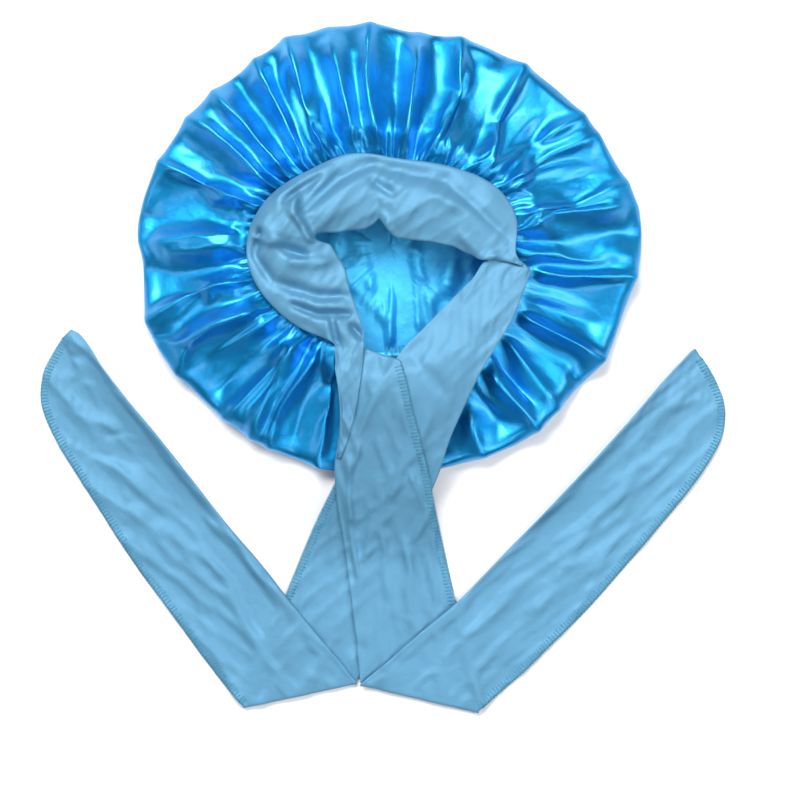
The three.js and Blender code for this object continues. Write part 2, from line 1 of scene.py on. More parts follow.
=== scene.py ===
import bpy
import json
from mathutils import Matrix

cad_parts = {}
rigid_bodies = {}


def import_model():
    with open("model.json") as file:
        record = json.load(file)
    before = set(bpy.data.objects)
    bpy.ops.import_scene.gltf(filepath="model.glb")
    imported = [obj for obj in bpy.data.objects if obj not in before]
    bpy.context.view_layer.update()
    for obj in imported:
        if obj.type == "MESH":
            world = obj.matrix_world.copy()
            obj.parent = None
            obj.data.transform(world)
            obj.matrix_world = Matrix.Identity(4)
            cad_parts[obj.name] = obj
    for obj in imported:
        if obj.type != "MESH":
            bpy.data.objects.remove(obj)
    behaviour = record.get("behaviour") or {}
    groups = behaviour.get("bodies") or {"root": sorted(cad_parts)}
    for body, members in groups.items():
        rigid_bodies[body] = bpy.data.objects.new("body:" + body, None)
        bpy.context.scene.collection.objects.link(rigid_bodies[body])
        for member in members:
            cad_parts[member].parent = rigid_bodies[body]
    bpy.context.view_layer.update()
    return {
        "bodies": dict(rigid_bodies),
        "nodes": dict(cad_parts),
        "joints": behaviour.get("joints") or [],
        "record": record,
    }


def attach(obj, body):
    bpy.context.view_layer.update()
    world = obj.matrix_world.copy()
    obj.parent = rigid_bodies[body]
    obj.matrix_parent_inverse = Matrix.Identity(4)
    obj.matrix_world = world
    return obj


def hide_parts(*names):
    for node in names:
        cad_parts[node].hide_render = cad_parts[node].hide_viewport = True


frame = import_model()

# Sleep bonnet: a gathered satin crown lying mouth up, and a wide strip that is its band and its two ties
import json
import math

import bmesh
import bpy
import numpy as np
from bpy.props import FloatProperty, FloatVectorProperty, IntProperty, PointerProperty
from mathutils import Vector

bl_info = {
    "name": "Sleep Bonnet",
    "version": (1, 0, 0),
    "blender": (4, 5, 0),
    "location": "View3D > Sidebar > Bonnet",
    "description": "Builds a satin sleep bonnet with a wide band and long ties, lying mouth up",
    "category": "Object",
}

MM = 0.001
SEED = 7


def table(columns, *rows):
    """Rows of values under named columns."""
    names = columns.split()
    return [dict(zip(names, row)) for row in rows]


# Reach of the folded rim in each direction, as shares of the crown's ellipse
RIM_ROWS = table(
    "at reach",
    (5, 1.01), (22, 0.975), (50, 0.975), (70, 0.98), (84, 0.97), (93, 1), (114, 1.02), (130, 0.99),
    (158, 0.995), (175, 1.015), (184, 0.993), (201, 1.035), (216, 1.02), (236, 1.025), (262, 1.035),
    (290, 1.018), (304, 1.023), (321, 0.985), (333, 0.995), (345, 0.98),
)

# Reach of the mouth's seam in each direction, as shares of the mouth's ellipse
MOUTH_ROWS = table(
    "at reach",
    (0, 0.85), (10, 0.93), (28, 0.94), (51, 0.88), (83, 0.85), (114, 0.94), (138, 0.93), (157, 0.97),
    (182, 1.02), (209, 1.05), (241, 1.09), (276, 1.1), (294, 0.98), (306, 0.9), (320, 0.8),
    (340, 0.75),
)

# Folds of the crown's top: direction at the mouth and at the rim, where each starts and ends on the way
# from the rim, 0, to the mouth, 1, half width in degrees, share of the fold height, and sideways bow
FOLD_ROWS = table(
    "mouth rim from to wide lift bow",
    (0, 3, 0, 1, 4, -0.9, 0), (6, 9, 0.1, 1, 2.5, 0.6, 1), (12, 15, 0, 0.8, 3.5, 0.7, 0),
    (19, 21, 0.2, 1, 3, -0.6, -1), (26, 28, 0, 0.9, 3.5, 0.6, 2), (32, 34, 0, 1, 3, 0.8, 2),
    (30, 43, 0.3, 0.9, 3, -0.8, -2), (33, 53, 0, 1, 3, 1, 5), (46, 59, 0, 0.8, 4.5, -0.8, 0),
    (55, 66, 0.2, 1, 3, 0.6, 1), (64, 71, 0, 1, 3, 0.8, 0), (75, 78, 0, 1, 3, -1, 1),
    (80, 82, 0.1, 0.9, 2.5, 0.7, 0), (87, 87, 0.1, 0.7, 3.5, -1, 0), (95, 95, 0, 1, 3, 0.9, 2),
    (103, 101, 0, 0.7, 3, -0.6, 0), (110, 106, 0.1, 1, 3, 0.6, -1), (119, 112, 0, 1, 3, -0.7, 0),
    (128, 117, 0, 1, 3, 1, -2), (134, 121, 0.1, 0.8, 2.5, -0.7, 0), (138, 126, 0, 1, 2.8, 0.9, -2),
    (141, 133, 0, 0.9, 3, -1, 0), (147, 139, 0, 1, 2.8, 0.9, -2), (151, 143, 0.2, 1, 2.5, -0.7, 0),
    (156, 148, 0, 1, 3, 0.9, -3), (161, 154, 0.1, 0.9, 3.5, -0.6, 0), (165, 160, 0, 1, 3, 0.8, -1),
    (170, 173, 0, 0.9, 3.5, -0.7, 1), (177, 179, 0.1, 1, 3.5, 0.5, 0), (188, 186, 0, 1, 3, -0.9, 0),
    (194, 197, 0, 1, 3.5, 1, -2), (201, 201, 0, 1, 2.5, -0.9, 0), (207, 204, 0.2, 0.7, 2, 0.6, 0),
    (208, 211, 0, 1, 3, 0.9, -5), (219, 220, 0.1, 1, 3, -0.9, 0), (222, 226, 0, 0.8, 3, 0.7, 1),
    (226, 234, 0, 1, 2.5, 0.9, 0), (235, 239, 0, 1, 2.5, 0.8, -2), (231, 236, 0.1, 1, 2, -0.8, 0),
    (238, 245, 0.1, 1, 2.5, -0.8, 0), (243, 252, 0, 1, 3, 0.8, 0), (290, 294, 0, 0.6, 3, 0.7, 0),
    (297, 302, 0.1, 0.8, 3, -0.8, 0), (305, 309, 0, 0.9, 2.8, 1, 0), (314, 312, 0.2, 1, 2.8, -0.9, 0),
    (322, 316, 0, 1, 3, 0.7, 1), (330, 325, 0, 1, 3, -0.8, 0), (332, 332, 0, 1, 2.8, 1, 0),
    (338, 340, 0.1, 1, 3, -0.7, 0), (348, 353, 0, 1, 2, 0.8, 0),
)

# Creases of the crown's floor that show through the mouth, as shares of the mouth's half width and half
# depth from the crown's middle, with their rise as a share of the fold height
FLOOR_ROWS = table(
    "x y to_x to_y rise wide",
    (0.03, 0.14, 0, -0.95, 0.42, 0.022), (0.14, 0.12, 0.24, -0.3, 0.34, 0.03),
    (0.24, -0.3, 0.33, -0.85, 0.3, 0.03), (-0.16, 0.05, -0.14, -0.4, 0.34, 0.03),
    (-0.1, 0.1, -0.02, -0.35, -0.4, 0.05), (-0.33, -0.3, -0.04, -0.74, 0.36, 0.03),
    (-0.14, -0.4, -0.28, -0.22, 0.3, 0.03), (0.5, 0, 0.32, -0.5, 0.34, 0.04),
    (0.64, -0.02, 0.44, -0.4, 0.28, 0.03), (0.36, 0.04, 0.3, -0.32, -0.4, 0.06),
    (-0.42, 0.04, -0.3, -0.4, 0.32, 0.04), (-0.3, 0.08, -0.22, -0.3, 0.22, 0.03),
    (0.46, 0.08, 0.4, -0.45, 0.4, 0.03), (-0.22, 0.1, -0.2, -0.2, 0.4, 0.03),
    (0.18, -0.05, 0.2, -0.8, 0.45, 0.03), (0.1, -0.1, 0.12, -0.7, -0.4, 0.05),
)

# Band, from the corner at the right, round the back, to the tip of the fold on the left tie: direction
# of its seam from the crown's middle, seam as a share of the mouth's reach, direction across the strip,
# width as a share of the strip, crest as a share of the band's crest
BAND_ROWS = table(
    "at out across wide crest",
    (-10.5, 1.24, 172, 0.02, 0), (-5, 1.1, 192, 0.32, 0.3), (2, 1.04, 201, 0.47, 0.4),
    (10, 1, 207, 0.64, 0.6), (28, 1, 226, 0.79, 0.8), (51, 1, 244, 0.81, 0.9), (83, 1, 266, 0.78, 1),
    (100, 1, 273, 0.72, 0.8), (114, 1, 277, 0.76, 1), (138, 1, 294, 0.68, 1.2),
    (157, 1, 316, 0.6, 1.5), (172, 1, 345, 0.7, 1.4), (182, 1, 361, 0.84, 1), (197, 1, 371, 0.89, 0.7),
    (209, 1, 373, 0.77, 0.8), (223, 1, 375, 0.6, 0.6), (241, 1, 369, 0.3, 0.3),
    (247, 1.22, 360, 0.26, 0.2), (252, 1.45, 360, 0.18, 0.1), (255, 1.72, 360, 0.11, 0),
    (256, 2, 360, 0.04, 0),
)

# Stretches of the ties. Along is the share of the stretch, shift moves the strip to the left of its
# heading, wide is its flat width, both as shares of the strip, and turn is its skew in degrees
LEFT_FALL_ROWS = table(
    "along shift wide turn",
    (0, 0, 0.68, -26), (0.08, 0, 0.69, -16), (0.16, 0, 0.71, -10), (0.24, -0.01, 0.79, -10),
    (0.33, -0.04, 0.92, -10), (0.43, -0.05, 0.97, -9), (0.55, -0.04, 1, -9), (0.66, -0.03, 1.03, -8),
    (0.77, -0.02, 1.06, -5), (0.88, -0.01, 1.12, -12), (1, 0, 1.23, -22),
)
LEFT_TAIL_ROWS = table(
    "along shift wide turn",
    (0, 0, 1.23, 26), (0.08, -0.07, 1.16, 22), (0.16, -0.13, 1.11, 17), (0.26, -0.2, 1.05, 15),
    (0.37, -0.25, 1.02, 8), (0.5, -0.29, 0.98, 2), (0.63, -0.32, 0.95, -3), (0.76, -0.34, 0.93, -9),
    (0.86, -0.33, 0.89, -12), (0.92, -0.3, 0.8, -13), (0.96, -0.23, 0.62, -12),
    (0.985, -0.12, 0.38, -11), (1, -0.01, 0.13, -15),
)
RIGHT_FALL_ROWS = table(
    "along shift wide turn",
    (0, -0.03, 0.16, -15), (0.03, -0.15, 0.45, -8), (0.08, -0.16, 0.53, -9), (0.15, -0.21, 0.63, -11),
    (0.22, -0.27, 0.71, -10), (0.29, -0.31, 0.82, -9), (0.38, -0.29, 0.84, -4), (0.46, -0.24, 0.86, 8),
    (0.54, -0.23, 0.95, 20), (0.63, -0.2, 1.02, 25), (0.74, -0.15, 1.03, 26), (0.84, -0.09, 1.06, 28),
    (0.93, -0.03, 1.11, 32), (1, 0, 1.17, 40),
)
RIGHT_TAIL_ROWS = table(
    "along shift wide turn",
    (0, 0, 1.17, -20), (0.09, 0.05, 1.13, -14), (0.19, 0.1, 1.09, -11), (0.32, 0.15, 1.04, -6),
    (0.44, 0.21, 1, -3), (0.56, 0.24, 0.96, -1), (0.68, 0.27, 0.91, 3), (0.79, 0.3, 0.84, 4),
    (0.88, 0.3, 0.77, 9), (0.93, 0.26, 0.69, 11), (0.97, 0.19, 0.51, 14), (0.99, 0.11, 0.28, 13),
    (1, 0.05, 0.12, 13),
)

# Where each tie starts on the mouth's seam, and its two headings, in degrees
LEFT_START = {"at": 258, "out": 0.98, "fall": -81.5, "tail": 51}
RIGHT_START = {"at": 350, "out": 1.275, "fall": -117.9, "tail": 122.2}

# Creases of the ties: on a stretch, from one place to another. Across runs from the folded edge, 0, to
# the serged edge, 1, rise is a share of the crease height, and wide is the half width in millimetres
TIE_CREASES = {
    "left_fall": table(
        "along across to to_across rise wide",
        (0.31, 0.16, 0.48, 0.12, 1.5, 3.2), (0.48, 0.12, 0.8, 0.1, 1.1, 3.2),
        (0.36, 0.2, 0.6, 0.21, -1.2, 4), (0.18, 0.42, 0.33, 0.2, 1.2, 3),
        (0.16, 0.5, 0.3, 0.32, -1, 3.5), (0.17, 0.78, 0.4, 0.55, 0.5, 4),
        (0.3, 0.7, 0.55, 0.65, -0.4, 4), (0.4, 0.42, 0.75, 0.42, 0.8, 5),
        (0.55, 0.62, 0.85, 0.55, 0.7, 5), (0.6, 0.3, 0.9, 0.32, -0.9, 5),
    ),
    "left_tail": table(
        "along across to to_across rise wide",
        (0.2, 0.36, 0.36, 0.34, 0.5, 5), (0.3, 0.6, 0.5, 0.7, 0.4, 5),
        (0.41, 0.56, 0.57, 0.44, 0.7, 4), (0.45, 0.3, 0.62, 0.26, -0.4, 5),
        (0.6, 0.5, 0.78, 0.3, 0.6, 4), (0.7, 0.58, 0.84, 0.64, 0.6, 3),
        (0.55, 0.12, 0.92, 0.12, -0.5, 5), (0.86, 0.3, 0.94, 0.6, 0.5, 3),
        (0.1, 0.07, 0.9, 0.08, 0.9, 7), (0.15, 0.22, 0.7, 0.2, -0.9, 6),
    ),
    "right_fall": table(
        "along across to to_across rise wide",
        (0.28, 0.85, 0.3, 0.3, -0.7, 4), (0.12, 0.8, 0.26, 0.55, 0.5, 4),
        (0.07, 0.45, 0.22, 0.25, 0.5, 4), (0.2, 0.8, 0.34, 0.7, 0.4, 3),
        (0.75, 0.8, 0.92, 0.75, 0.4, 4),
    ),
    "right_tail": table(
        "along across to to_across rise wide",
        (0.1, 0.07, 0.9, 0.08, 1.2, 7), (0.12, 0.23, 0.88, 0.2, -1, 6),
        (0.46, 0.1, 0.66, 0.14, -0.9, 5), (0.66, 0.14, 0.92, 0.12, -0.9, 5),
        (0.54, 0.46, 0.68, 0.6, 0.7, 3.5), (0.54, 0.7, 0.63, 0.66, 0.5, 3.5),
        (0.65, 0.3, 0.74, 0.74, -0.5, 3), (0.56, 0.2, 0.65, 0.3, 0.5, 3),
        (0.73, 0.28, 0.75, 0.46, -0.6, 2), (0.88, 0.2, 0.89, 0.44, -0.5, 2.5),
        (0.84, 0.54, 0.88, 0.62, 0.5, 3), (0.93, 0.22, 0.97, 0.6, -0.6, 3),
        (0.16, 0.46, 0.41, 0.52, 0.5, 5), (0.05, 0.4, 0.27, 0.36, -0.4, 5),
        (0.16, 0.7, 0.32, 0.68, 0.5, 4),
    ),
}

# Folds of the band: from one place to another. Place counts the band's rows, across runs from the seam,
# 0, to the strip's folded edge, 1
BAND_CREASES = table(
    "at across to to_across rise wide",
    (5, 0.2, 7.2, 0.16, -0.7, 6), (7.2, 0.16, 8.4, 0.28, -1, 4.5), (8.4, 0.28, 9.6, 0.52, -1.6, 3.5),
    (9.3, 0.22, 9.8, 0.62, -0.9, 8), (10.9, 0.08, 11.2, 0.26, 0.8, 5), (8.9, 0.16, 9.9, 0.26, -0.9, 3),
    (8.6, 0.08, 10, 0.12, 0.5, 4), (9.6, 0.3, 10, 0.48, 1.3, 2.5), (10, 0.46, 10.2, 0.76, 0.9, 2.5),
    (10.2, 0.76, 11.2, 0.84, 0.9, 2.5), (11.6, 0.12, 11.8, 0.36, 1.2, 2.5),
    (11, 0.2, 11.7, 0.3, 0.9, 2.5), (11, 0.16, 12.2, 0.08, -1.2, 3), (12.2, 0.08, 13, 0.18, -0.8, 3),
    (12.1, 0.44, 12.4, 0.66, -1.3, 3), (12.6, 0.5, 12.7, 0.85, 0.7, 4), (13.2, 0.25, 14, 0.6, -1, 4),
    (14, 0.6, 14.2, 0.9, -1, 3.5), (14.1, 0.24, 14.7, 0.42, -1, 2.5),
    (14.7, 0.42, 15, 0.84, -1.2, 2.5), (14.9, 0.58, 16, 0.12, -0.9, 2),
    (15.4, 0.8, 15.9, 0.92, -1, 2.5), (7.1, 0.42, 6.2, 0.48, -0.7, 3.5), (5.1, 0.42, 4, 0.44, 0.5, 5),
    (5, 0.2, 2.9, 0.3, -0.6, 5), (3.5, 0.8, 1.4, 0.9, 0.5, 4), (6.8, 0.9, 6.5, 1, 1.2, 3),
)


# Named sizes and colours of the bonnet, for the user to change
def metres(name, description, value):
    return FloatProperty(
        name=name, description=description, default=value, unit="LENGTH", subtype="DISTANCE")


class BonnetSizes(bpy.types.PropertyGroup):
    crown_width: metres("Crown width", "Across the folded rim, side to side", 0.365)
    crown_depth: metres("Crown depth", "Across the folded rim, front to back", 0.324)
    rim_loft: metres("Rim loft", "Height of the folded rim", 0.022)
    rim_round: metres("Rim round", "How far inward the rim's loft is reached", 0.013)
    rim_edge: metres("Rim edge", "Height of the top cloth at the rim's fold", 0.008)
    gather_height: metres("Gather height", "Height of the top cloth just outside the mouth", 0.040)
    seam_height: metres("Seam height", "Height of the mouth's seam", 0.034)
    fold_height: metres("Fold height", "Height of a full fold of the crown", 0.013)
    mouth_width: metres("Mouth width", "Across the relaxed mouth, side to side", 0.200)
    mouth_depth: metres("Mouth depth", "Across the relaxed mouth, front to back", 0.141)
    cloth: metres("Satin thickness", "Thickness of the crown's satin", 0.0007)
    strip_width: metres("Strip width", "Folded width of the strip of the band and the ties", 0.072)
    strip_thickness: metres("Strip thickness", "Thickness of the strip's two layers", 0.0014)
    lay_gap: metres("Lay gap", "Gap between layers that lie on each other", 0.0004)
    band_crest: metres("Band crest", "Height of the band's hump", 0.010)
    crease_height: metres("Crease height", "Height of a full crease of the strip", 0.0030)
    left_fall: metres("Left fall", "Left tie from the mouth to its diagonal fold", 0.2552)
    left_tail: metres("Left tail", "Left tie from its diagonal fold to its tip", 0.3225)
    right_fall: metres("Right fall", "Right tie from the mouth's corner to its diagonal fold", 0.3492)
    right_tail: metres("Right tail", "Right tie from its diagonal fold to its tip", 0.3125)
    drop_length: metres("Drop length", "How far past the rim the ties reach the floor", 0.070)
    stitch_pitch: metres("Stitch pitch", "From one overlock stitch to the next", 0.0025)
    stitch_depth: metres("Stitch depth", "How far the overlock stitches reach in from the edge", 0.005)
    thread: metres("Thread", "Diameter of the overlock thread", 0.00048)
    gathers: IntProperty(
        name="Gathers", description="Fine gathers round the mouth", default=104)


def colour(name, description, value):
    return FloatVectorProperty(
        name=name, description=description, default=value, subtype="COLOR", size=3,
        min=0, max=1)


class BonnetColours(bpy.types.PropertyGroup):
    satin: colour("Satin", "Lit colour of the crown's satin", (0.006, 0.335, 0.75))
    # Satin reverse: partly the satin's real duller inner side, partly painted light, made lighter to stand
    # in for light shining through the thin satin into the mouth
    reverse: colour("Satin reverse", "Colour of the satin's dull inner side", (0.045, 0.56, 1.0))
    strip: colour("Strip", "Colour of the stretch satin", (0.112, 0.318, 0.50))
    thread: colour("Thread", "Colour of the overlock thread", (0.085, 0.36, 0.53))
    floor: colour("Floor", "Colour of the floor", (0.93, 0.935, 0.94))


# Sums that every piece uses
def smooth_step(low, high, x):
    t = np.clip((x - low) / (high - low), 0, 1)
    return t * t * (3 - 2 * t)


def mix(a, b, t):
    return a + (b - a) * t


def turn_between(a, b):
    return (a - b + 540) % 360 - 180


def through_rows(rows, key, column, x):
    """A smooth curve through one column of a table."""
    keys = np.array([row[key] for row in rows], float)
    values = np.array([row[column] for row in rows], float)
    index = np.arange(len(rows))
    before = np.maximum(index - 1, 0)
    after = np.minimum(index + 1, len(rows) - 1)
    slopes = (values[after] - values[before]) / (keys[after] - keys[before])
    x = np.asarray(x, float)
    i = np.clip(np.searchsorted(keys, x, side="left") - 1, 0, len(rows) - 2)
    span = keys[i + 1] - keys[i]
    t = np.clip((x - keys[i]) / span, 0, 1)
    near = (1 + 2 * t) * (1 - t) ** 2 * values[i]
    far = t * t * (3 - 2 * t) * values[i + 1]
    leaving = t * (1 - t) ** 2 * span * slopes[i]
    arriving = t * t * (t - 1) * span * slopes[i + 1]
    return near + far + leaving + arriving


def round_rows(rows, column, degrees):
    before = [{**row, "at": row["at"] - 360} for row in rows[-2:]]
    after = [{**row, "at": row["at"] + 360} for row in rows[:2]]
    return through_rows(before + rows + after, "at", column, np.asarray(degrees, float) % 360)


def ellipse_reach(degrees, width, depth):
    angle = np.radians(degrees)
    return 1 / np.hypot(np.cos(angle) / (width / 2), np.sin(angle) / (depth / 2))


def rim_reach(s, degrees):
    return ellipse_reach(degrees, s.crown_width, s.crown_depth) * round_rows(RIM_ROWS, "reach", degrees)


def mouth_reach(s, degrees):
    return ellipse_reach(degrees, s.mouth_width, s.mouth_depth) * round_rows(MOUTH_ROWS, "reach", degrees)


def polar(degrees, out):
    angle = np.radians(degrees)
    return out * np.cos(angle), out * np.sin(angle)


def soft_noise(random, degrees, low, high, count=6):
    """Smooth noise round the full turn, about -1 to 1, from a few waves of low to high counts."""
    total = np.zeros_like(degrees)
    for _ in range(count):
        waves = random.integers(low, high + 1)
        total += np.cos(np.radians(degrees * waves) + random.uniform(0, 2 * math.pi))
    return total / math.sqrt(count)


# Plan of the strip: its folded edge and its serged edge along a stretch
class Stretch:
    def __init__(self, rows, start, heading, length, side, width):
        self.rows = rows
        self.start = np.array(start, float)
        self.heading = math.radians(heading)
        self.length = length
        self.side = side
        self.width = width
        self.ahead = np.array([math.cos(self.heading), math.sin(self.heading)])
        self.end = self.start + self.ahead * length

    def edges(self, along):
        along = np.asarray(along, float)
        shift = through_rows(self.rows, "along", "shift", along) * self.width
        half = through_rows(self.rows, "along", "wide", along) * self.width / 2
        turn = np.radians(through_rows(self.rows, "along", "turn", along))
        across = self.heading + math.pi / 2 * self.side + turn
        x = self.start[0] + self.ahead[0] * along * self.length - self.ahead[1] * shift
        y = self.start[1] + self.ahead[1] * along * self.length + self.ahead[0] * shift
        reach = np.stack([np.cos(across) * half, np.sin(across) * half], -1)
        middle = np.stack([x, y], -1)
        return middle - reach, middle + reach

    def place(self, along, across):
        folded, serged = self.edges(along)
        return mix(folded, serged, np.asarray(across, float)[..., None])

    def outline(self):
        folded, serged = self.edges(np.array([row["along"] for row in self.rows]))
        return np.concatenate([folded, serged[::-1]])


def make_stretches(s):
    def start(row):
        return polar(row["at"], mouth_reach(s, row["at"]) * row["out"])

    width = s.strip_width
    left = Stretch(LEFT_FALL_ROWS, start(LEFT_START), LEFT_START["fall"], s.left_fall, 1, width)
    right = Stretch(RIGHT_FALL_ROWS, start(RIGHT_START), RIGHT_START["fall"], s.right_fall, -1, width)
    return {
        "left_fall": left,
        "left_tail": Stretch(LEFT_TAIL_ROWS, left.end, LEFT_START["tail"], s.left_tail, -1, width),
        "right_fall": right,
        "right_tail": Stretch(RIGHT_TAIL_ROWS, right.end, RIGHT_START["tail"], s.right_tail, 1, width),
    }


def segment_distance(x, y, a, b):
    """Distance to a segment, and the share along it of the nearest point."""
    dx, dy = b[0] - a[0], b[1] - a[1]
    t = np.clip(((x - a[0]) * dx + (y - a[1]) * dy) / (dx * dx + dy * dy), 0, 1)
    return np.hypot(x - a[0] - dx * t, y - a[1] - dy * t), t


def distance_outside(outline, x, y):
    inside = np.zeros(x.shape, bool)
    nearest = np.full(x.shape, 1e9)
    for a, b in zip(outline, np.roll(outline, -1, axis=0)):
        crosses = (a[1] > y) != (b[1] > y)
        slope = (b[0] - a[0]) / (b[1] - a[1] if b[1] != a[1] else 1e-12)
        inside ^= crosses & (x < slope * (y - a[1]) + a[0])
        nearest = np.minimum(nearest, segment_distance(x, y, a, b)[0])
    return np.where(inside, 0, nearest)


# A stretch lifts what lies on it inside its outline and fades out beside it
COVER_MARGIN = 3 * MM
COVER_FADE = 16 * MM


def cover(outline, x, y, margin=COVER_MARGIN, fade=COVER_FADE):
    """How much of a stretch lies below a place: 1 inside its outline, 0 well outside."""
    return 1 - smooth_step(margin, margin + fade, distance_outside(outline, x, y))


# Heights of the crown's top and of what lies on it. Way runs from the rim, 0, to the mouth, 1
CREST_WAY = 0.8
SEAM_FOLD_SHARE = 0.35
PRESSED_SHARE = 0.25
LOWEST_SHARE = 0.55
REST_RISE = 4.4 * MM
FAR_INSIDE = 10
DROP_LEAD = 0.3


def plain_top(s, inside, way):
    """Height of the top cloth without its folds, from its distance inside the rim and its way inward."""
    edge = mix(s.rim_loft, s.rim_edge, np.exp(-np.maximum(inside, 0) / s.rim_round))
    climb = mix(edge, s.gather_height, smooth_step(0, CREST_WAY, way))
    return climb - (s.gather_height - s.seam_height) * smooth_step(CREST_WAY, 1, way)


def lay_height(s, x, y):
    degrees = np.degrees(np.arctan2(y, x))
    out = np.hypot(x, y)
    rim = rim_reach(s, degrees)
    way = np.clip((rim - out) / (rim - mouth_reach(s, degrees)), 0, 1)
    fallen = 1 - smooth_step(-DROP_LEAD * s.drop_length, s.drop_length, out - rim)
    return (plain_top(s, FAR_INSIDE * s.rim_round, way) + REST_RISE) * fallen


# Each fold leans to one side, fades in and out along its way, and has a rounded peak
LEAN_TURN = 2.4
LEE_WIDER = 0.7
STEEP_NARROWER = 0.45
FOLD_FADE = 0.14
FOLD_DROP = 0.75
FOLD_PEAK = 1.3


def fold_rise(degrees, way):
    rise = np.zeros(np.broadcast(degrees, way).shape)
    for row in FOLD_ROWS:
        bow = row["bow"] * np.sin(np.pi * way)
        axis = row["rim"] + turn_between(row["mouth"], row["rim"]) * way + bow
        aside = turn_between(degrees, axis) / row["wide"]
        lean = math.sin(LEAN_TURN * row["rim"])
        lee, steep = 1.0 + LEE_WIDER * abs(lean), 1.0 - STEEP_NARROWER * abs(lean)
        aside = np.abs(aside) / np.where(aside * lean > 0, lee, steep)
        start, end = row["from"], row["to"]
        grown = smooth_step(start - FOLD_FADE, start + FOLD_FADE, way) if start > 0 else 1.0
        ending = 1 - FOLD_DROP * smooth_step(end - FOLD_FADE, end + FOLD_FADE, way)
        rise += row["lift"] * np.exp(-aside ** FOLD_PEAK) * grown * ending
    return rise


# Layers of gathers: share of the full count, height in millimetres, and the way on which each layer grows
GATHER_ROWS = table(
    "share height low high",
    (1, 1.3, 0.84, 1), (0.5, 2, 0.66, 0.95), (0.25, 2, 0.3, 0.75),
)
GATHER_PEAK = 0.8
GATHER_DROP = 0.6


def gather_rise(s, random, degrees, way):
    """Fine gathers at the seam that run together into fewer, larger ones further out."""
    rise = np.zeros(np.broadcast(degrees, way).shape)
    for row in GATHER_ROWS:
        drift = soft_noise(random, degrees, 3, 14) * 1.6
        sway = soft_noise(random, degrees, 5, 20) * 0.8
        uneven = 0.75 + 0.35 * soft_noise(random, degrees, 6, 24)
        phase = np.radians(degrees * round(s.gathers * row["share"])) + drift + sway * way
        wave = 1 - 2 * np.abs(np.sin(phase / 2)) ** GATHER_PEAK
        reach = row["high"] + 0.18 * soft_noise(random, degrees, 8, 30)
        grown = smooth_step(row["low"] - 0.15, row["low"] + 0.2, way)
        window = grown * (1 - GATHER_DROP * smooth_step(reach, reach + 0.1, way))
        rise += row["height"] * MM * wave * np.clip(uneven, 0.2, 1.4) * window
    return rise


# Mesh building
def new_object(name, vertices, faces, smooth=True):
    mesh = bpy.data.meshes.new(name)
    mesh.from_pydata([tuple(v) for v in vertices], [], [tuple(f) for f in faces])
    mesh.update()
    if smooth:
        mesh.polygons.foreach_set("use_smooth", [True] * len(mesh.polygons))
    piece = bpy.data.objects.new(name, mesh)
    bpy.context.scene.collection.objects.link(piece)
    return piece


def add_attribute(piece, name, values):
    """A vector for each point, such as its place in the flat cloth, in metres."""
    data = piece.data.attributes.new(name, "FLOAT_VECTOR", "POINT")
    data.data.foreach_set("vector", np.asarray(values, float).ravel())


def grid_faces(rows, columns, wrap=False):
    i, j = np.meshgrid(np.arange(rows - 1), np.arange(columns if wrap else columns - 1), indexing="ij")
    i, j = i.ravel(), j.ravel()
    right = (j + 1) % columns
    low, high = i * columns, (i + 1) * columns
    return np.stack([low + j, low + right, high + right, high + j], 1)


def apply_modifiers(piece):
    graph = bpy.context.evaluated_depsgraph_get()
    mesh = bpy.data.meshes.new_from_object(piece.evaluated_get(graph), depsgraph=graph)
    old = piece.data
    piece.modifiers.clear()
    piece.data = mesh
    bpy.data.meshes.remove(old)


# Crown: rings of points from the floor's middle, round the rim and over the top to the seam
TURNS = 500
FLOOR_RINGS = 34
FLOOR_EDGE_RINGS = 5
RIM_RINGS = 7
TOP_RINGS = 54
FLOOR_THICKNESS = 1.2 * MM
CREASE_SHARE = 1.25
CREASE_WIDTH = 1.5
CREASE_PEAK = 1.3
WAVE_HEIGHT = 0.6 * MM
STREAK_HEIGHT = 3.0 * MM


def floor_rise(s, x, y):
    """Creases of the floor, as it shows through the mouth."""
    half_w, half_d = s.mouth_width / 2, s.mouth_depth / 2
    rise = np.zeros_like(x)
    for row in FLOOR_ROWS:
        start = (row["x"] * half_w, row["y"] * half_d)
        end = (row["to_x"] * half_w, row["to_y"] * half_d)
        aside, _ = segment_distance(x, y, start, end)
        crest = np.exp(-(aside / (CREASE_WIDTH * row["wide"] * half_w)) ** CREASE_PEAK)
        rise += CREASE_SHARE * row["rise"] * s.fold_height * crest
    waves = 0.6 * np.sin(x * 95 + 2 * np.sin(y * 60)) * np.sin(y * 80 + 1.3) + 0.4 * np.sin(x * 190 - y * 70)
    return rise + WAVE_HEIGHT * waves + STREAK_HEIGHT * lap_folds(y, x, SEED + 3)


# A fold's crest makes a small point in the outline where it reaches the rim
TIP_REACH = 2.2 * MM
TIP_WIDTH = 2.2
TIP_LATEST_START = 0.15


def rim_tips(degrees):
    """Small points of the outline where a fold's crest meets the rim."""
    tips = np.zeros_like(degrees)
    for row in FOLD_ROWS:
        if row["lift"] > 0 and row["from"] < TIP_LATEST_START:
            tips += row["lift"] * np.exp(-np.abs(turn_between(degrees, row["rim"])) / TIP_WIDTH)
    return tips - tips.mean()


# The rim is a narrow half round, and the seam allowance turns down inside the mouth
RIM_BULGE = 0.3
RIM_FOLD_SHARE = 0.75
ALLOWANCE_STEPS = (0.2, 0.6, 1.0)
ALLOWANCE_DROP = 3 * MM
FRONT_AT = 282
FRONT_WIDTH = 13


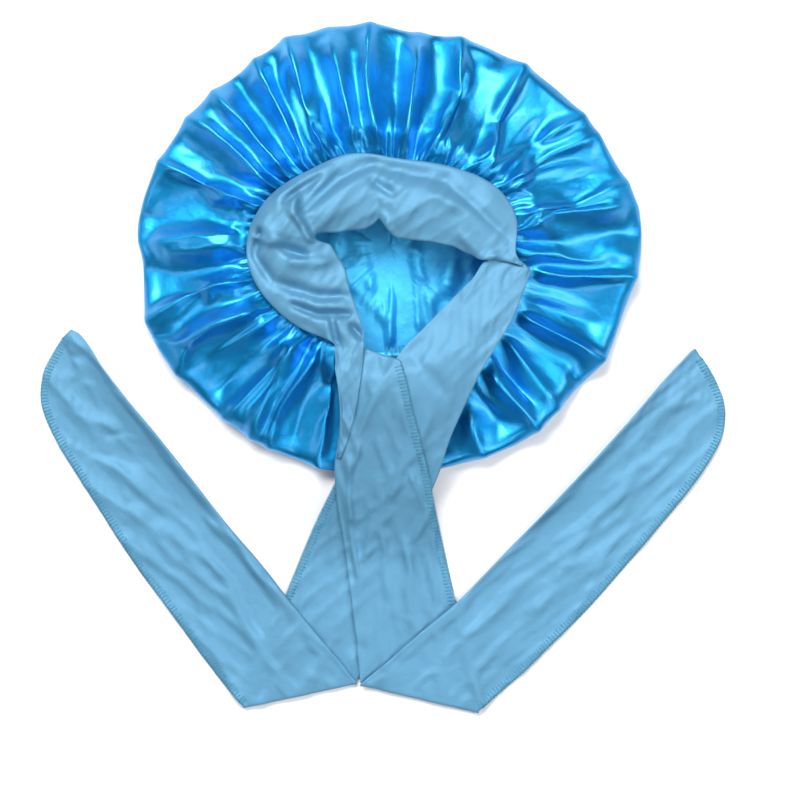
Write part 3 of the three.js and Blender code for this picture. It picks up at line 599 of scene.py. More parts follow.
def crown_grid(s):
    """Rings of the crown's cloth from its floor's middle to the mouth's seam, folded and smooth."""
    random = np.random.default_rng(SEED)
    degrees = np.arange(TURNS) * 360 / TURNS
    rim = rim_reach(s, degrees) + TIP_REACH * rim_tips(degrees)
    bulge = s.rim_edge / 2 * RIM_BULGE
    middle = rim - bulge
    mouth = mouth_reach(s, degrees)
    stretches = make_stretches(s)
    outlines = [stretches["left_fall"].outline(), stretches["right_fall"].outline()]
    rings, smooth = [], []

    def add(reach, z, plain):
        x, y = polar(degrees, reach)
        rings.append((x, y, np.broadcast_to(z, x.shape)))
        smooth.append((x, y, np.broadcast_to(plain, x.shape)))

    inner = np.linspace(0.015, 0.6, FLOOR_RINGS - FLOOR_EDGE_RINGS)
    for share in np.concatenate([inner, np.linspace(0.68, 1, FLOOR_EDGE_RINGS)]):
        x, y = polar(degrees, middle * share)
        fade = 1 - smooth_step(0.75, 0.98, share)
        creased = np.maximum(floor_rise(s, x, y), -0.4 * MM) * fade
        add(middle * share, FLOOR_THICKNESS + creased, FLOOR_THICKNESS)
    way = np.linspace(0, 1, TOP_RINGS)[:, None] ** 1.1
    folds = fold_rise(degrees[None, :], way) * s.fold_height
    gathers = gather_rise(s, random, degrees[None, :], way)
    for angle in np.radians(np.linspace(-70, 70, RIM_RINGS)):
        lifted = (1 + math.sin(angle)) / 2
        high = max(s.rim_edge * lifted, FLOOR_THICKNESS)
        grown = np.maximum(folds[0] * RIM_FOLD_SHARE, -LOWEST_SHARE * s.rim_edge) * lifted
        add(middle + bulge * math.cos(angle), high + grown, high)
    for k, share in enumerate(way[:, 0]):
        out = mix(middle, mouth, share)
        x, y = polar(degrees, out)
        pressed = np.maximum(cover(outlines[0], x, y), cover(outlines[1], x, y))
        sewn = mix(1, SEAM_FOLD_SHARE, smooth_step(CREST_WAY, 1, share))
        softened = mix(RIM_FOLD_SHARE, 1, smooth_step(0, 0.12, share))
        texture = folds[k] * sewn * softened + gathers[k]
        plain = plain_top(s, rim - out, share)
        texture = np.maximum(texture * mix(1, PRESSED_SHARE, pressed), -LOWEST_SHARE * plain)
        add(out, plain + texture, plain)
    seam = rings[-1][2]
    front = np.exp(-(turn_between(degrees, FRONT_AT) / FRONT_WIDTH) ** 4)
    waves = gather_rise(s, random, degrees, np.ones(TURNS)) * 0.6
    for step in ALLOWANCE_STEPS:
        inward = (0.8 + 3.6 * front) * MM * step
        add(mouth - inward, seam + (waves - ALLOWANCE_DROP) * step * (0.3 + front), s.seam_height)
    return degrees, rings, smooth


def ring_excess(way):
    """Spare cloth round each ring, from the rim to the mouth, as a share of its length."""
    return mix(0.03, 0.11, smooth_step(0, 0.7, way)) + 0.4 * smooth_step(0.75, 1, way)


SPARE_ALONG = 1.03


def cut_rings(s, rings, smooth):
    """The rings with their spare cloth let out, for the lengths that the cloth keeps."""
    cut, high = [], 0.0
    for k, (x, y, z) in enumerate(smooth):
        way = np.clip((k - FLOOR_RINGS - RIM_RINGS) / (TOP_RINGS - 1), 0, 1)
        spare = ring_excess(way) if k >= FLOOR_RINGS else 0.0
        point = np.stack([x * (1 + spare), y * (1 + spare)], -1)
        if k < FLOOR_RINGS:
            high = z.mean()
        else:
            before = np.stack(smooth[k - 1], -1)
            step = np.linalg.norm(np.stack([x, y, z], -1) - before, axis=1).mean() * SPARE_ALONG
            run = np.linalg.norm(point - cut[-1][:, :2], axis=1).mean()
            high += math.sqrt(max(step ** 2 - run ** 2, 1e-10))
        cut.append(np.column_stack([point, np.full(len(x), high)]))
    return cut


# Settling: how long, how stiff the satin is, and how firmly the rim, the top's first rings and the last
# rings at the seam are held
SETTLE_FRAMES = 22
SATIN = {
    "quality": 5, "mass": 0.1, "tension_stiffness": 18, "compression_stiffness": 18, "shear_stiffness": 6,
    "bending_stiffness": 0.5, "air_damping": 4, "vertex_group_mass": "held", "pin_stiffness": 1,
}
SATIN_WEIGHT = 0.1
HELD_RIM = 0.8
HELD_TOP = (0.7, 0.5, 0.3)
HELD_SEAM = (0.6, 0.8, 1, 1, 1, 1)


def settle(piece, cut, held):
    """Lets the cloth fold by itself, held by weights from 0 to 1, and keeps its shape."""
    scene = bpy.context.scene
    piece.shape_key_add(name="laid")
    key = piece.shape_key_add(name="cut")
    key.data.foreach_set("co", np.asarray(cut, float).ravel())
    group = piece.vertex_groups.new(name="held")
    for level in np.unique(held):
        if level > 0:
            group.add([int(v) for v in np.nonzero(held == level)[0]], float(level), "REPLACE")
    modifier = piece.modifiers.new("settle", "CLOTH")
    cloth = modifier.settings
    for name, value in SATIN.items():
        setattr(cloth, name, value)
    cloth.rest_shape_key = key
    cloth.effector_weights.gravity = SATIN_WEIGHT
    modifier.collision_settings.use_collision = False
    modifier.collision_settings.use_self_collision = False
    modifier.point_cache.frame_start = 1
    modifier.point_cache.frame_end = SETTLE_FRAMES
    for frame in range(1, SETTLE_FRAMES + 1):
        scene.frame_set(frame)
    apply_modifiers(piece)
    scene.frame_set(1)


def settle_crown(s, piece, smooth, rings):
    cut = np.concatenate([[[0, 0, smooth[0][2].mean()]]] + cut_rings(s, rings, smooth))
    held = np.zeros(len(rings))
    top = FLOOR_RINGS + RIM_RINGS
    held[:FLOOR_RINGS + 1] = 1
    held[FLOOR_RINGS + 1:top] = HELD_RIM
    held[top:top + len(HELD_TOP)] = HELD_TOP
    held[-len(HELD_SEAM):] = HELD_SEAM
    settle(piece, cut, np.concatenate([[1], np.repeat(held, TURNS)]))


SMOOTHING = 6
AROUND_SHARE = 0.35


def smooth_folds(points, count):
    """Softens the small kinks of the settled cloth, less so near the mouth."""
    grid = points[1:].reshape(count, TURNS, 3).copy()
    way = np.clip((np.arange(count) - FLOOR_RINGS - RIM_RINGS) / TOP_RINGS, 0, 1)
    strength = mix(1, 0.15, smooth_step(0.6, 0.9, way))
    strength[:FLOOR_RINGS] = 0
    strength[FLOOR_RINGS:FLOOR_RINGS + RIM_RINGS] = 0.5
    for _ in range(SMOOTHING):
        around = (np.roll(grid, 1, axis=1) + np.roll(grid, -1, axis=1)) / 2
        along = grid.copy()
        along[1:-1] = (grid[:-2] + grid[2:]) / 2
        target = around * AROUND_SHARE + along * (1 - AROUND_SHARE)
        grid += (target - grid) * (0.5 * strength)[:, None, None]
    return np.concatenate([points[:1], grid.reshape(-1, 3)])


def mesh_points(piece):
    points = np.zeros(len(piece.data.vertices) * 3)
    piece.data.vertices.foreach_get("co", points)
    return points.reshape(-1, 3)


# Room between the crown's folds and a tie on them, how softly a fold is pressed, and the least height
TIE_ROOM = 1.5 * MM
PRESS_SOFTNESS = 1.2 * MM
LOWEST = 1.0 * MM


def press_below(s, points):
    """Keeps the crown's folds below the ties that lie on them, and above the floor."""
    stretches = make_stretches(s)
    x, y, z = points.T.copy()
    lay = lay_height(s, x, y)
    for side in ("left_fall", "right_fall"):
        outside = distance_outside(stretches[side].outline(), x, y)
        cap = lay + outside * 0.8 + 20 * MM * smooth_step(6 * MM, 16 * MM, outside)
        over = z - cap + TIE_ROOM
        rounded = PRESS_SOFTNESS * (1 - np.exp(-over / PRESS_SOFTNESS))
        z = np.where(over > 0, cap - TIE_ROOM + rounded, z)
    return np.column_stack([x, y, np.maximum(z, LOWEST)])


def make_crown(s):
    degrees, rings, smooth = crown_grid(s)
    points = [np.stack(ring, -1) for ring in rings]
    middle = rings[0]
    vertices = np.concatenate([[[0, 0, middle[2].mean()]]] + points)
    faces = [(0, 1 + (i + 1) % TURNS, 1 + i) for i in range(TURNS)]
    body = grid_faces(len(rings), TURNS, wrap=True) + 1
    faces += [tuple(int(v) for v in face) for face in body]
    piece = new_object("crown_satin", vertices, faces)
    for polygon in piece.data.polygons[-len(ALLOWANCE_STEPS) * TURNS:]:
        polygon.material_index = 1
    settle_crown(s, piece, smooth, rings)
    settled = press_below(s, smooth_folds(mesh_points(piece), len(rings)))
    piece.data.vertices.foreach_set("co", settled.ravel())
    piece.data.update()
    steps = np.linalg.norm(np.diff(np.stack(points), axis=0), axis=2).mean(axis=1)
    flat = np.concatenate([[0], np.cumsum(steps)]) + np.hypot(middle[0], middle[1]).mean()
    angle = np.radians(degrees)
    x = flat[:, None] * np.cos(angle)
    y = flat[:, None] * np.sin(angle)
    cloth = np.concatenate([[[0, 0, 0]], np.stack([x, y, np.zeros_like(x)], -1).reshape(-1, 3)])
    add_attribute(piece, "cloth_place", cloth)
    grid = settled[1:].reshape(len(rings), TURNS, 3)
    outward = np.gradient(grid, axis=0) / np.gradient(flat)[:, None, None]
    round_it = (np.roll(grid, -1, axis=1) - np.roll(grid, 1, axis=1)) / (4 * math.pi / TURNS)
    turned = (np.sin(angle)[None, :] / flat[:, None])[..., None]
    weft = outward * np.cos(angle)[None, :, None] - round_it * turned
    weft /= np.linalg.norm(weft, axis=2, keepdims=True) + 1e-12
    add_attribute(piece, "weft", np.concatenate([[[1, 0, 0]], weft.reshape(-1, 3)]))
    return piece


# Strip of the band and the ties
def crease_rise(s, creases, x, y):
    rise = np.zeros_like(x)
    for start, end, height, wide in creases:
        aside, t = segment_distance(x, y, start, end)
        taper = 0.35 + 0.65 * np.sin(np.pi * np.clip(t, 0.02, 0.98)) ** 0.5
        rise += height * s.crease_height * taper * np.exp(-(aside / (wide * MM)) ** 1.6)
    return rise


def tie_creases(stretches, name):
    found = []
    for row in TIE_CREASES[name]:
        start = stretches[name].place(row["along"], row["across"])
        end = stretches[name].place(row["to"], row["to_across"])
        found.append((start, end, row["rise"], row["wide"]))
    return found


def cloth_ripple(x, y, scale, height):
    """Shallow uneven waves of soft cloth."""
    a = np.sin(x * 6.1 / scale + 1.7 * np.sin(y * 3.3 / scale))
    b = np.sin(y * 5.2 / scale + 1.4 * np.sin(x * 4.1 / scale + 0.8))
    c = np.sin((x + y) * 9.7 / scale + np.sin((x - y) * 4.9 / scale))
    return height * (0.45 * a * b + 0.3 * c * b + 0.25 * a)


# Layers of limp folds: distance from one to the next, share of the height, and spread of their lean
LAP_ROWS = table(
    "length share steep",
    (0.036, 1, 0.12), (0.021, 0.7, 0.2), (0.012, 0.5, 0.35), (0.007, 0.25, 0.6),
)


def lap_folds(u, v, seed):
    """Uneven folds of limp cloth that run mostly along it, about -1 to 1, from places in metres."""
    random = np.random.default_rng(seed)
    total = np.zeros_like(u)
    for row in LAP_ROWS:
        for _ in range(2):
            lean = random.normal(0, row["steep"])
            p = random.uniform(0, 2 * math.pi, 6)
            warp = 1.6 * np.sin(u * 11 + p[0] + 1.1 * np.sin(v * 41 + p[1]))
            warp = warp + 0.8 * np.sin(u * 29 + v * 37 + p[2])
            phase = 2 * math.pi * (v * math.cos(lean) + u * math.sin(lean)) / row["length"] + warp
            mask = np.clip(0.35 + 0.9 * np.sin(u * 19 + v * 30 + p[3]) * np.sin(u * 9 - v * 27 + p[4]), 0, 1)
            total += row["share"] * mask * (1 - 2 * np.abs(np.sin(phase / 2)) ** 0.75)
    return total / 1.6


class Crumples:
    """Short shallow creases scattered over a stretch of cloth, longer along it than across it."""

    def __init__(self, place, seed, count, height):
        random = np.random.default_rng(seed)
        self.rows = []
        for _ in range(count):
            along, across = random.uniform(0, 1), random.uniform(0.02, 0.98)
            turn = random.normal(0, 0.5)
            half = random.uniform(0.012, 0.05)
            a = place(along - half * math.cos(turn), across - 4 * half * math.sin(turn))
            b = place(along + half * math.cos(turn), across + 4 * half * math.sin(turn))
            wide = random.uniform(1.6, 4.5) * MM
            rise = random.choice([-1, 1]) * random.uniform(0.25, 1.0) * height * (wide / (3 * MM))
            self.rows.append((np.asarray(a, float), np.asarray(b, float), wide, rise))

    def rise(self, x, y):
        total = np.zeros_like(x)
        for a, b, wide, rise in self.rows:
            aside, t = segment_distance(x, y, a, b)
            total += rise * np.sin(np.pi * np.clip(t, 0.03, 0.97)) ** 0.6 * np.exp(-(aside / wide) ** 1.5)
        return total


# Points across the strip, and the distance between its stations
ACROSS = 34
STEP = 2.2 * MM


EDGE_SHARE = 0.8
ROLL_SHARE = 0.5
ROLL_WIDTH = 3.5


def strip_profile(s, across_mm):
    """Half thickness across the strip: a soft roll at its folded edge, thin at its serged edge."""
    return s.strip_thickness / 2 * (EDGE_SHARE + ROLL_SHARE * np.exp(-(across_mm / ROLL_WIDTH) ** 2))


def strip_mesh(name, upper, lower, flat):
    """A closed strip from two grids of points, station by station, joined at both edges and both ends."""
    stations, across, _ = upper.shape
    vertices = np.concatenate([upper.reshape(-1, 3), lower.reshape(-1, 3)])
    offset = stations * across
    top = grid_faces(stations, across)
    faces = [tuple(int(v) for v in face) for face in top]
    faces += [tuple(int(v) + offset for v in face[::-1]) for face in top]
    for i in range(stations - 1):
        a, b = i * across, (i + 1) * across
        faces.append((a, b, b + offset, a + offset))
        a, b = a + across - 1, b + across - 1
        faces.append((b, a, a + offset, b + offset))
    for j in range(across - 1):
        faces.append((j + 1, j, j + offset, j + 1 + offset))
        k = (stations - 1) * across + j
        faces.append((k, k + 1, k + 1 + offset, k + offset))
    piece = new_object(name, vertices, faces)
    fix_normals(piece)
    add_attribute(piece, "cloth_place", np.concatenate([flat.reshape(-1, 3)] * 2))
    return piece


def fix_normals(piece):
    mesh = bmesh.new()
    mesh.from_mesh(piece.data)
    bmesh.ops.recalc_face_normals(mesh, faces=mesh.faces)
    mesh.to_mesh(piece.data)
    mesh.free()


def stretch_grid(s, stretch, height, folded_over):
    """Upper and lower points of a stretch, and their places in the flat cloth."""
    stations = max(8, round(stretch.length / STEP))
    along = np.linspace(0, 1, stations)
    share = (1 - np.cos(np.linspace(0, np.pi, ACROSS))) / 2
    share = mix(share, np.linspace(0, 1, ACROSS), 0.7)
    u, v = np.meshgrid(along, share, indexing="ij")
    plan = stretch.place(u, v)
    x, y = plan[..., 0], plan[..., 1]
    wide = through_rows(stretch.rows, "along", "wide", u) * s.strip_width
    half = strip_profile(s, v * wide / MM)
    low = height(x, y)
    middle = low + s.strip_thickness / 2 + np.maximum(half - s.strip_thickness / 2, 0)
    upper = np.stack([x, y, middle + half], -1)
    lower = np.stack([x, y, middle - half], -1)
    flat = np.stack([u * stretch.length, v * s.strip_width, np.zeros_like(u)], -1)
    return (lower, upper, flat) if not folded_over else (upper, lower, flat)


def make_tie(s, name, stretches, side, fall_height, tail_height):
    fall, tail = stretches[side + "_fall"], stretches[side + "_tail"]
    fall_out, fall_in, fall_flat = stretch_grid(s, fall, fall_height, False)
    tail_out, tail_in, tail_flat = stretch_grid(s, tail, tail_height, True)
    tail_flat[..., 0] += fall.length
    line = tail_out[0, -1, :2] - tail_out[0, 0, :2]
    normal = np.array([-line[1], line[0]]) / np.hypot(*line)
    if normal @ fall.ahead < 0:
        normal = -normal
    bend_out, bend_in = [], []
    for angle in np.radians([-60, -20, 20, 60]):
        high = (tail_out[0, :, 2] - fall_out[-1, :, 2]) / 2
        middle = (tail_out[0, :, 2] + fall_out[-1, :, 2]) / 2
        outer = (fall_out[-1] + tail_out[0]) / 2
        outer[:, 2] = middle + high * math.sin(angle)
        outer[:, :2] += normal * (s.strip_thickness * 1.3 * math.cos(angle))
        inner = (fall_in[-1] + tail_in[0]) / 2
        inner[:, :2] += normal * (s.lay_gap * math.cos(angle))
        inner[:, 2] += (tail_in[0, :, 2] - fall_in[-1, :, 2]) / 2 * math.sin(angle)
        bend_out.append(outer)
        bend_in.append(inner)
    bend_flat = np.repeat(fall_flat[-1:], len(bend_out), axis=0)
    outer = np.concatenate([fall_out, np.array(bend_out), tail_out])
    inner = np.concatenate([fall_in, np.array(bend_in), tail_in])
    flat = np.concatenate([fall_flat, bend_flat, tail_flat])
    return strip_mesh(name, outer, inner, flat)


# Rises of the layers: the limp folds and the crumples, the least gap below a layer, and the room for the
# stitches between two layers, in stitch heights
LAP_HEIGHT = 1.9 * MM
FALL_FOLDS = 1.5
TAIL_FOLDS = 1.1
CRUMPLE_HEIGHT = 0.75 * MM
CRUMPLE_SPACING = 2.6 * MM
LAYER_FLOOR = 1.3 * MM
LAYER_SLACK = 0.4 * MM
STITCH_ROOM = 2.6


def strip_heights(s, stretches):
    """The lowest height of each layer of the strip at a place."""
    left, right = stretches["left_fall"].outline(), stretches["right_fall"].outline()
    pitch = s.strip_thickness + s.lay_gap
    stitch_height = s.strip_thickness / 2 + s.thread / 2
    creases = {name: tie_creases(stretches, name) for name in stretches}

    def lay(x, y):
        return lay_height(s, x, y) + 0.7 * MM + cloth_ripple(x, y, 0.16, 0.5 * MM)

    def on_right(x, y):
        return lay(x, y) + pitch * cover(right, x, y)

    def on_both(x, y):
        return on_right(x, y) + pitch * cover(left, x, y)

    def folds(name, x, y):
        stretch = stretches[name]
        away = np.stack([x - stretch.start[0], y - stretch.start[1]], -1)
        u = away @ stretch.ahead
        v = away @ np.array([-stretch.ahead[1], stretch.ahead[0]])
        share = FALL_FOLDS if name == "left_fall" else TAIL_FOLDS
        return share * LAP_HEIGHT * lap_folds(u, v, SEED + sum(map(ord, name)))

    def with_creases(base, name):
        stretch = stretches[name]
        seed = SEED + len(name) + round(stretch.length / MM)
        crumples = Crumples(stretch.place, seed, round(stretch.length / CRUMPLE_SPACING), CRUMPLE_HEIGHT)

        def height(x, y):
            raised = crease_rise(s, creases[name], x, y) + crumples.rise(x, y) + folds(name, x, y)
            return base(x, y) + LAYER_FLOOR + np.maximum(raised, -LAYER_FLOOR - LAYER_SLACK)

        return height

    def resting(own, *below):
        """Never lower than the top of each stretch of cloth below it."""
        def height(x, y):
            high = own(x, y)
            for outline, lower in below:
                over = cover(outline, x, y, 1 * MM, 7 * MM)
                high = np.maximum(high, mix(high, lower(x, y) + STITCH_ROOM * stitch_height, over))
            return high
        return height

    right_fall = with_creases(lay, "right_fall")
    below_right = (right, right_fall)
    right_tail = resting(with_creases(on_right, "right_tail"), below_right)
    below_tail = (stretches["right_tail"].outline(), right_tail)
    left_fall = resting(with_creases(on_right, "left_fall"), below_right, below_tail)
    below_left = (left, left_fall)
    left_tail = resting(with_creases(on_both, "left_tail"), below_right, below_left)
    band = resting(on_both, below_right, below_left)
    return {"right_fall": right_fall, "right_tail": right_tail, "left_fall": left_fall,
            "left_tail": left_tail, "band": band}


BAND_PLACES = [{**row, "place": i} for i, row in enumerate(BAND_ROWS)]
BAND_STATIONS = 300

# Small peak of the folded edge at the back of the mouth
NOTCH_PLACE = 6.9
NOTCH_WIDE = 0.3
NOTCH_DEPTH = 0.115

# The band's folds are deeper than the ties' creases, up to a highest ridge and a deepest valley
BAND_DEPTH = 2.9
HIGHEST_RIDGE = 4 * MM
DEEPEST_VALLEY = 9 * MM


def band_place(s, place, share):
    at = through_rows(BAND_PLACES, "place", "at", place)
    seam = mouth_reach(s, at) * through_rows(BAND_PLACES, "place", "out", place)
    across = np.radians(through_rows(BAND_PLACES, "place", "across", place))
    wide = through_rows(BAND_PLACES, "place", "wide", place) * s.strip_width
    wide = wide * (1 - NOTCH_DEPTH * np.exp(-np.abs((place - NOTCH_PLACE) / NOTCH_WIDE) ** 1.3))
    x, y = polar(at, seam)
    return x + np.cos(across) * wide * share, y + np.sin(across) * wide * share


def make_band(s, base):
    place = np.linspace(0, len(BAND_ROWS) - 1, BAND_STATIONS)
    u, v = np.meshgrid(place, np.linspace(0, 1, ACROSS), indexing="ij")
    x, y = band_place(s, u, v)
    creases = []
    for row in BAND_CREASES:
        start = band_place(s, row["at"], row["across"])
        end = band_place(s, row["to"], row["to_across"])
        creases.append((start, end, row["rise"] * BAND_DEPTH, row["wide"]))
    crest = np.maximum(through_rows(BAND_PLACES, "place", "crest", u), 0)
    hump = np.sin(np.pi * v) + 0.35 * v
    low = base(x, y) + crest * s.band_crest * hump
    folds = crease_rise(s, creases, x, y) * smooth_step(0, 0.12, v)
    most = np.where(folds > 0, HIGHEST_RIDGE, DEEPEST_VALLEY)
    low += most * np.tanh(folds / most)
    low += LAP_HEIGHT * lap_folds(x * 0.6 + y * 0.8, y * 0.6 - x * 0.8, SEED) * smooth_step(0, 0.2, v)
    wide = through_rows(BAND_PLACES, "place", "wide", u) * s.strip_width
    half = strip_profile(s, (1 - v) * wide / MM)
    middle = low + s.strip_thickness / 2
    upper = np.stack([x, y, middle + half], -1)
    lower = np.stack([x, y, middle - half], -1)
    steps = np.hypot(np.diff(x, axis=0), np.diff(y, axis=0)).mean(axis=1)
    length = np.concatenate([[0], np.cumsum(steps)])
    flat = np.stack([np.broadcast_to(length[:, None], v.shape), v * s.strip_width, np.zeros_like(v)], -1)
    return strip_mesh("band_strip", upper, lower, flat)


# Overlock stitches along a serged edge
def tube_along(path, radius, sides=5):
    """Vertices and faces of a tube along a path of points."""
    path = np.asarray(path, float)
    ahead = np.gradient(path, axis=0)
    ahead /= np.linalg.norm(ahead, axis=1)[:, None] + 1e-12
    side = np.cross(ahead, [0.12, 0.23, 0.96])
    side /= np.linalg.norm(side, axis=1)[:, None] + 1e-12
    up = np.cross(side, ahead)
    angle = np.arange(sides) * 2 * np.pi / sides
    ring = side[:, None] * np.cos(angle)[None, :, None] + up[:, None] * np.sin(angle)[None, :, None]
    vertices = (path[:, None] + ring * radius).reshape(-1, 3)
    faces = [tuple(int(v) for v in face[::-1]) for face in grid_faces(len(path), sides, wrap=True)]
    last = (len(path) - 1) * sides
    faces.append(tuple(range(sides)))
    faces.append(tuple(last + k for k in reversed(range(sides))))
    return vertices, faces


def serged_edge(s, stretch, low_along, high_along):
    """Points along a stretch's serged edge, and the directions ahead and into the cloth there."""
    along = np.linspace(low_along, high_along, 400)
    _, serged = stretch.edges(along)
    steps = np.hypot(*np.diff(serged, axis=0).T)
    length = np.concatenate([[0], np.cumsum(steps)])
    count = max(2, int(length[-1] / s.stitch_pitch))
    wanted = np.linspace(0, length[-1], count)
    x = np.interp(wanted, length, serged[:, 0])
    y = np.interp(wanted, length, serged[:, 1])
    points = np.stack([x, y], -1)
    ahead = np.gradient(points, axis=0)
    ahead /= np.linalg.norm(ahead, axis=1)[:, None]
    inward = np.stack([-ahead[:, 1], ahead[:, 0]], -1)
    middle = stretch.place(np.interp(wanted, length, along), np.full(count, 0.5))
    if np.mean(np.sum(inward * (middle - points), axis=1)) < 0:
        inward = -inward
    return points, ahead, inward


def mouth_stitches(s):
    """The overlock over the gathered seam allowance, where it shows at the mouth's front."""
    degrees = np.arange(268, 298, 2.3)
    points = []
    for k, degree in enumerate(degrees):
        reach = float(mouth_reach(s, degree))
        for share, along in ((0, 0), (1, 0.15), (1, 0.5), (0, 0.65)):
            out = reach + 0.6 * MM - 5 * MM * share
            x, y = polar(degree + 1.1 * along, out)
            sway = 0.9 * MM * math.sin(k * 1.9)
            points.append((x, y, s.seam_height + 1.3 * MM - 2.5 * MM * share + sway))
    return np.array(points)


# One stitch: share of the stitch depth, share of the pitch, and share of the height above the cloth
STITCH_STEPS = ((-0.08, 0, 0.25), (0.06, 0, 1), (0.5, 0.02, 1), (1, 0.04, 1),
                (1, 0.16, 1), (0.5, 0.17, 1), (0.06, 0.18, 1), (-0.08, 0.3, 0.25))
STITCH_RISE = 0.25 * MM


def stitch_path(s, points, ahead, inward, height):
    top = s.strip_thickness * 0.9 + s.thread * 0.25 + STITCH_RISE
    reach = s.stitch_depth * (1 + 0.08 * np.sin(np.arange(len(points)) * 2.3))
    stages = []
    for share, step, lift in STITCH_STEPS:
        place = points + inward * (reach * share)[:, None] + ahead * s.stitch_pitch * step
        base = height(place[:, 0], place[:, 1])
        stages.append(np.column_stack([place, base + top * lift]))
    return np.stack(stages, 1).reshape(-1, 3)


def make_stitches(s, name, runs, more):
    vertices, faces = [], []
    count = 0
    paths = list(more)
    for stretch, height, low, high in runs:
        paths.append(stitch_path(s, *serged_edge(s, stretch, low, high), height))
    for path in paths:
        v, f = tube_along(path, s.thread / 2)
        vertices.append(v)
        faces += [tuple(k + count for k in face) for face in f]
        count += len(v)
    return new_object(name, np.concatenate(vertices), faces)


# Materials
class Nodes:
    """Short names for building a material's nodes."""

    def __init__(self, name):
        self.material = bpy.data.materials.new(name)
        self.material.use_nodes = True
        self.tree = self.material.node_tree
        self.shader = self.tree.nodes["Principled BSDF"]

    def add(self, kind, **settings):
        node = self.tree.nodes.new(kind)
        for key, value in settings.items():
            if key in node.inputs:
                node.inputs[key].default_value = value
            else:
                setattr(node, key, value)
        return node

    def link(self, start, end):
        self.tree.links.new(start, end)

    def place(self, scale):
        """Places in the flat cloth, times a scale."""
        source = self.add("ShaderNodeAttribute", attribute_name="cloth_place")
        scaled = self.add("ShaderNodeVectorMath", operation="MULTIPLY")
        scaled.inputs[1].default_value = scale
        self.link(source.outputs["Vector"], scaled.inputs[0])
        return scaled.outputs["Vector"]

    def noise(self, vector, scale, detail=3.0, roughness=0.55):
        node = self.add("ShaderNodeTexNoise", Scale=scale, Detail=detail, Roughness=roughness)
        self.link(vector, node.inputs["Vector"])
        return node.outputs["Fac"]

    def tint(self, factor, colour, dark):
        """The base colour, from a darker share of it up to the full colour."""
        node = self.add("ShaderNodeValToRGB")
        for element, position, share in zip(node.color_ramp.elements, (0.3, 0.7), (dark, 1)):
            element.position = position
            element.color = (*(v * share for v in colour), 1)
        self.link(factor, node.inputs["Fac"])
        self.link(node.outputs["Color"], self.shader.inputs["Base Color"])

    def finish(self, **values):
        """Constants on the shader's own sockets."""
        for name, value in values.items():
            self.shader.inputs[name.replace("_", " ")].default_value = value
        return self.material

    def maths(self, operation, a, b):
        node = self.add("ShaderNodeMath", operation=operation)
        for slot, value in zip(node.inputs, (a, b)):
            if isinstance(value, (int, float)):
                slot.default_value = value
            else:
                self.link(value, slot)
        return node.outputs["Value"]

    def bump(self, height, strength, distance, before=None):
        node = self.add("ShaderNodeBump", Strength=strength, Distance=distance)
        self.link(height, node.inputs["Height"])
        if before is not None:
            self.link(before, node.inputs["Normal"])
        return node.outputs["Normal"]


def weave(nodes, threads):
    """Fine threads both ways, as a height."""
    vector = nodes.place((threads, threads, threads))
    warp = nodes.add("ShaderNodeTexWave", wave_type="BANDS", bands_direction="X", Scale=1.0)
    weft = nodes.add("ShaderNodeTexWave", wave_type="BANDS", bands_direction="Y", Scale=1.0)
    for node in (warp, weft):
        nodes.link(vector, node.inputs["Vector"])
    return nodes.maths("ADD", nodes.maths("MULTIPLY", warp.outputs["Fac"], 0.7), weft.outputs["Fac"])


WRINKLE_DEPTH = 0.004
WEAVE_DEPTH = 0.0002


def cloth_nodes(name, colour, dark, patches, wrinkles, threads, relief):
    """A cloth with soft patches of colour, small wrinkles and a weave."""
    nodes = Nodes(name)
    vector = nodes.place((1, 1, 1))
    nodes.tint(nodes.noise(vector, patches, 4.0), colour, dark)
    scale, detail, strength = wrinkles
    wrinkle = nodes.bump(nodes.noise(vector, scale, detail), strength, WRINKLE_DEPTH)
    woven = nodes.bump(weave(nodes, threads), relief, WEAVE_DEPTH, wrinkle)
    nodes.link(woven, nodes.shader.inputs["Normal"])
    return nodes, vector


def uneven_gloss(nodes, vector, scale, low):
    fine = nodes.noise(vector, scale, 2.0)
    rough = nodes.maths("ADD", nodes.maths("MULTIPLY", fine, 0.12), low)
    nodes.link(rough, nodes.shader.inputs["Roughness"])


def satin_material(colours):
    nodes, vector = cloth_nodes("glossy_satin", colours.satin, 0.85, 18, (55, 3.0, 0.25), 1500, 0.12)
    uneven_gloss(nodes, vector, 900, 0.33)
    weft = nodes.add("ShaderNodeAttribute", attribute_name="weft")
    nodes.link(weft.outputs["Vector"], nodes.shader.inputs["Tangent"])
    return nodes.finish(
        Metallic=0.86, Coat_Weight=0.5, Coat_Roughness=0.28, Anisotropic=0.6, Specular_IOR_Level=0.3)


# Inner side of the crown's satin and the turned-down seam allowance: a duller reverse, its colour lightened
# as painted light for the light shining through the thin top layer
def reverse_with_painted_light_material(colours):
    nodes, _ = cloth_nodes("satin_reverse_painted_light", colours.reverse, 0.85, 30, (60, 4.0, 0.3), 1500, 0.2)
    return nodes.finish(Roughness=0.42, Metallic=0.3)


def strip_material(colours):
    nodes, vector = cloth_nodes("strip_cloth", colours.strip, 0.88, 25, (45, 4.0, 0.22), 1300, 0.2)
    uneven_gloss(nodes, vector, 700, 0.42)
    return nodes.finish(Metallic=0.3, Specular_IOR_Level=0.35)


def thread_material(colours):
    nodes = Nodes("overlock_thread")
    source = nodes.add("ShaderNodeTexCoord")
    twist = nodes.noise(source.outputs["Object"], 2500, 2.0)
    nodes.tint(twist, colours.thread, 0.7)
    nodes.link(nodes.bump(twist, 0.4, 0.0003), nodes.shader.inputs["Normal"])
    return nodes.finish(Roughness=0.55)


def floor_material(colours):
    nodes = Nodes("pale_floor")
    source = nodes.add("ShaderNodeTexCoord")
    nodes.tint(nodes.noise(source.outputs["Object"], 40, 4.0), colours.floor, 0.985)
    return nodes.finish(Roughness=0.8)


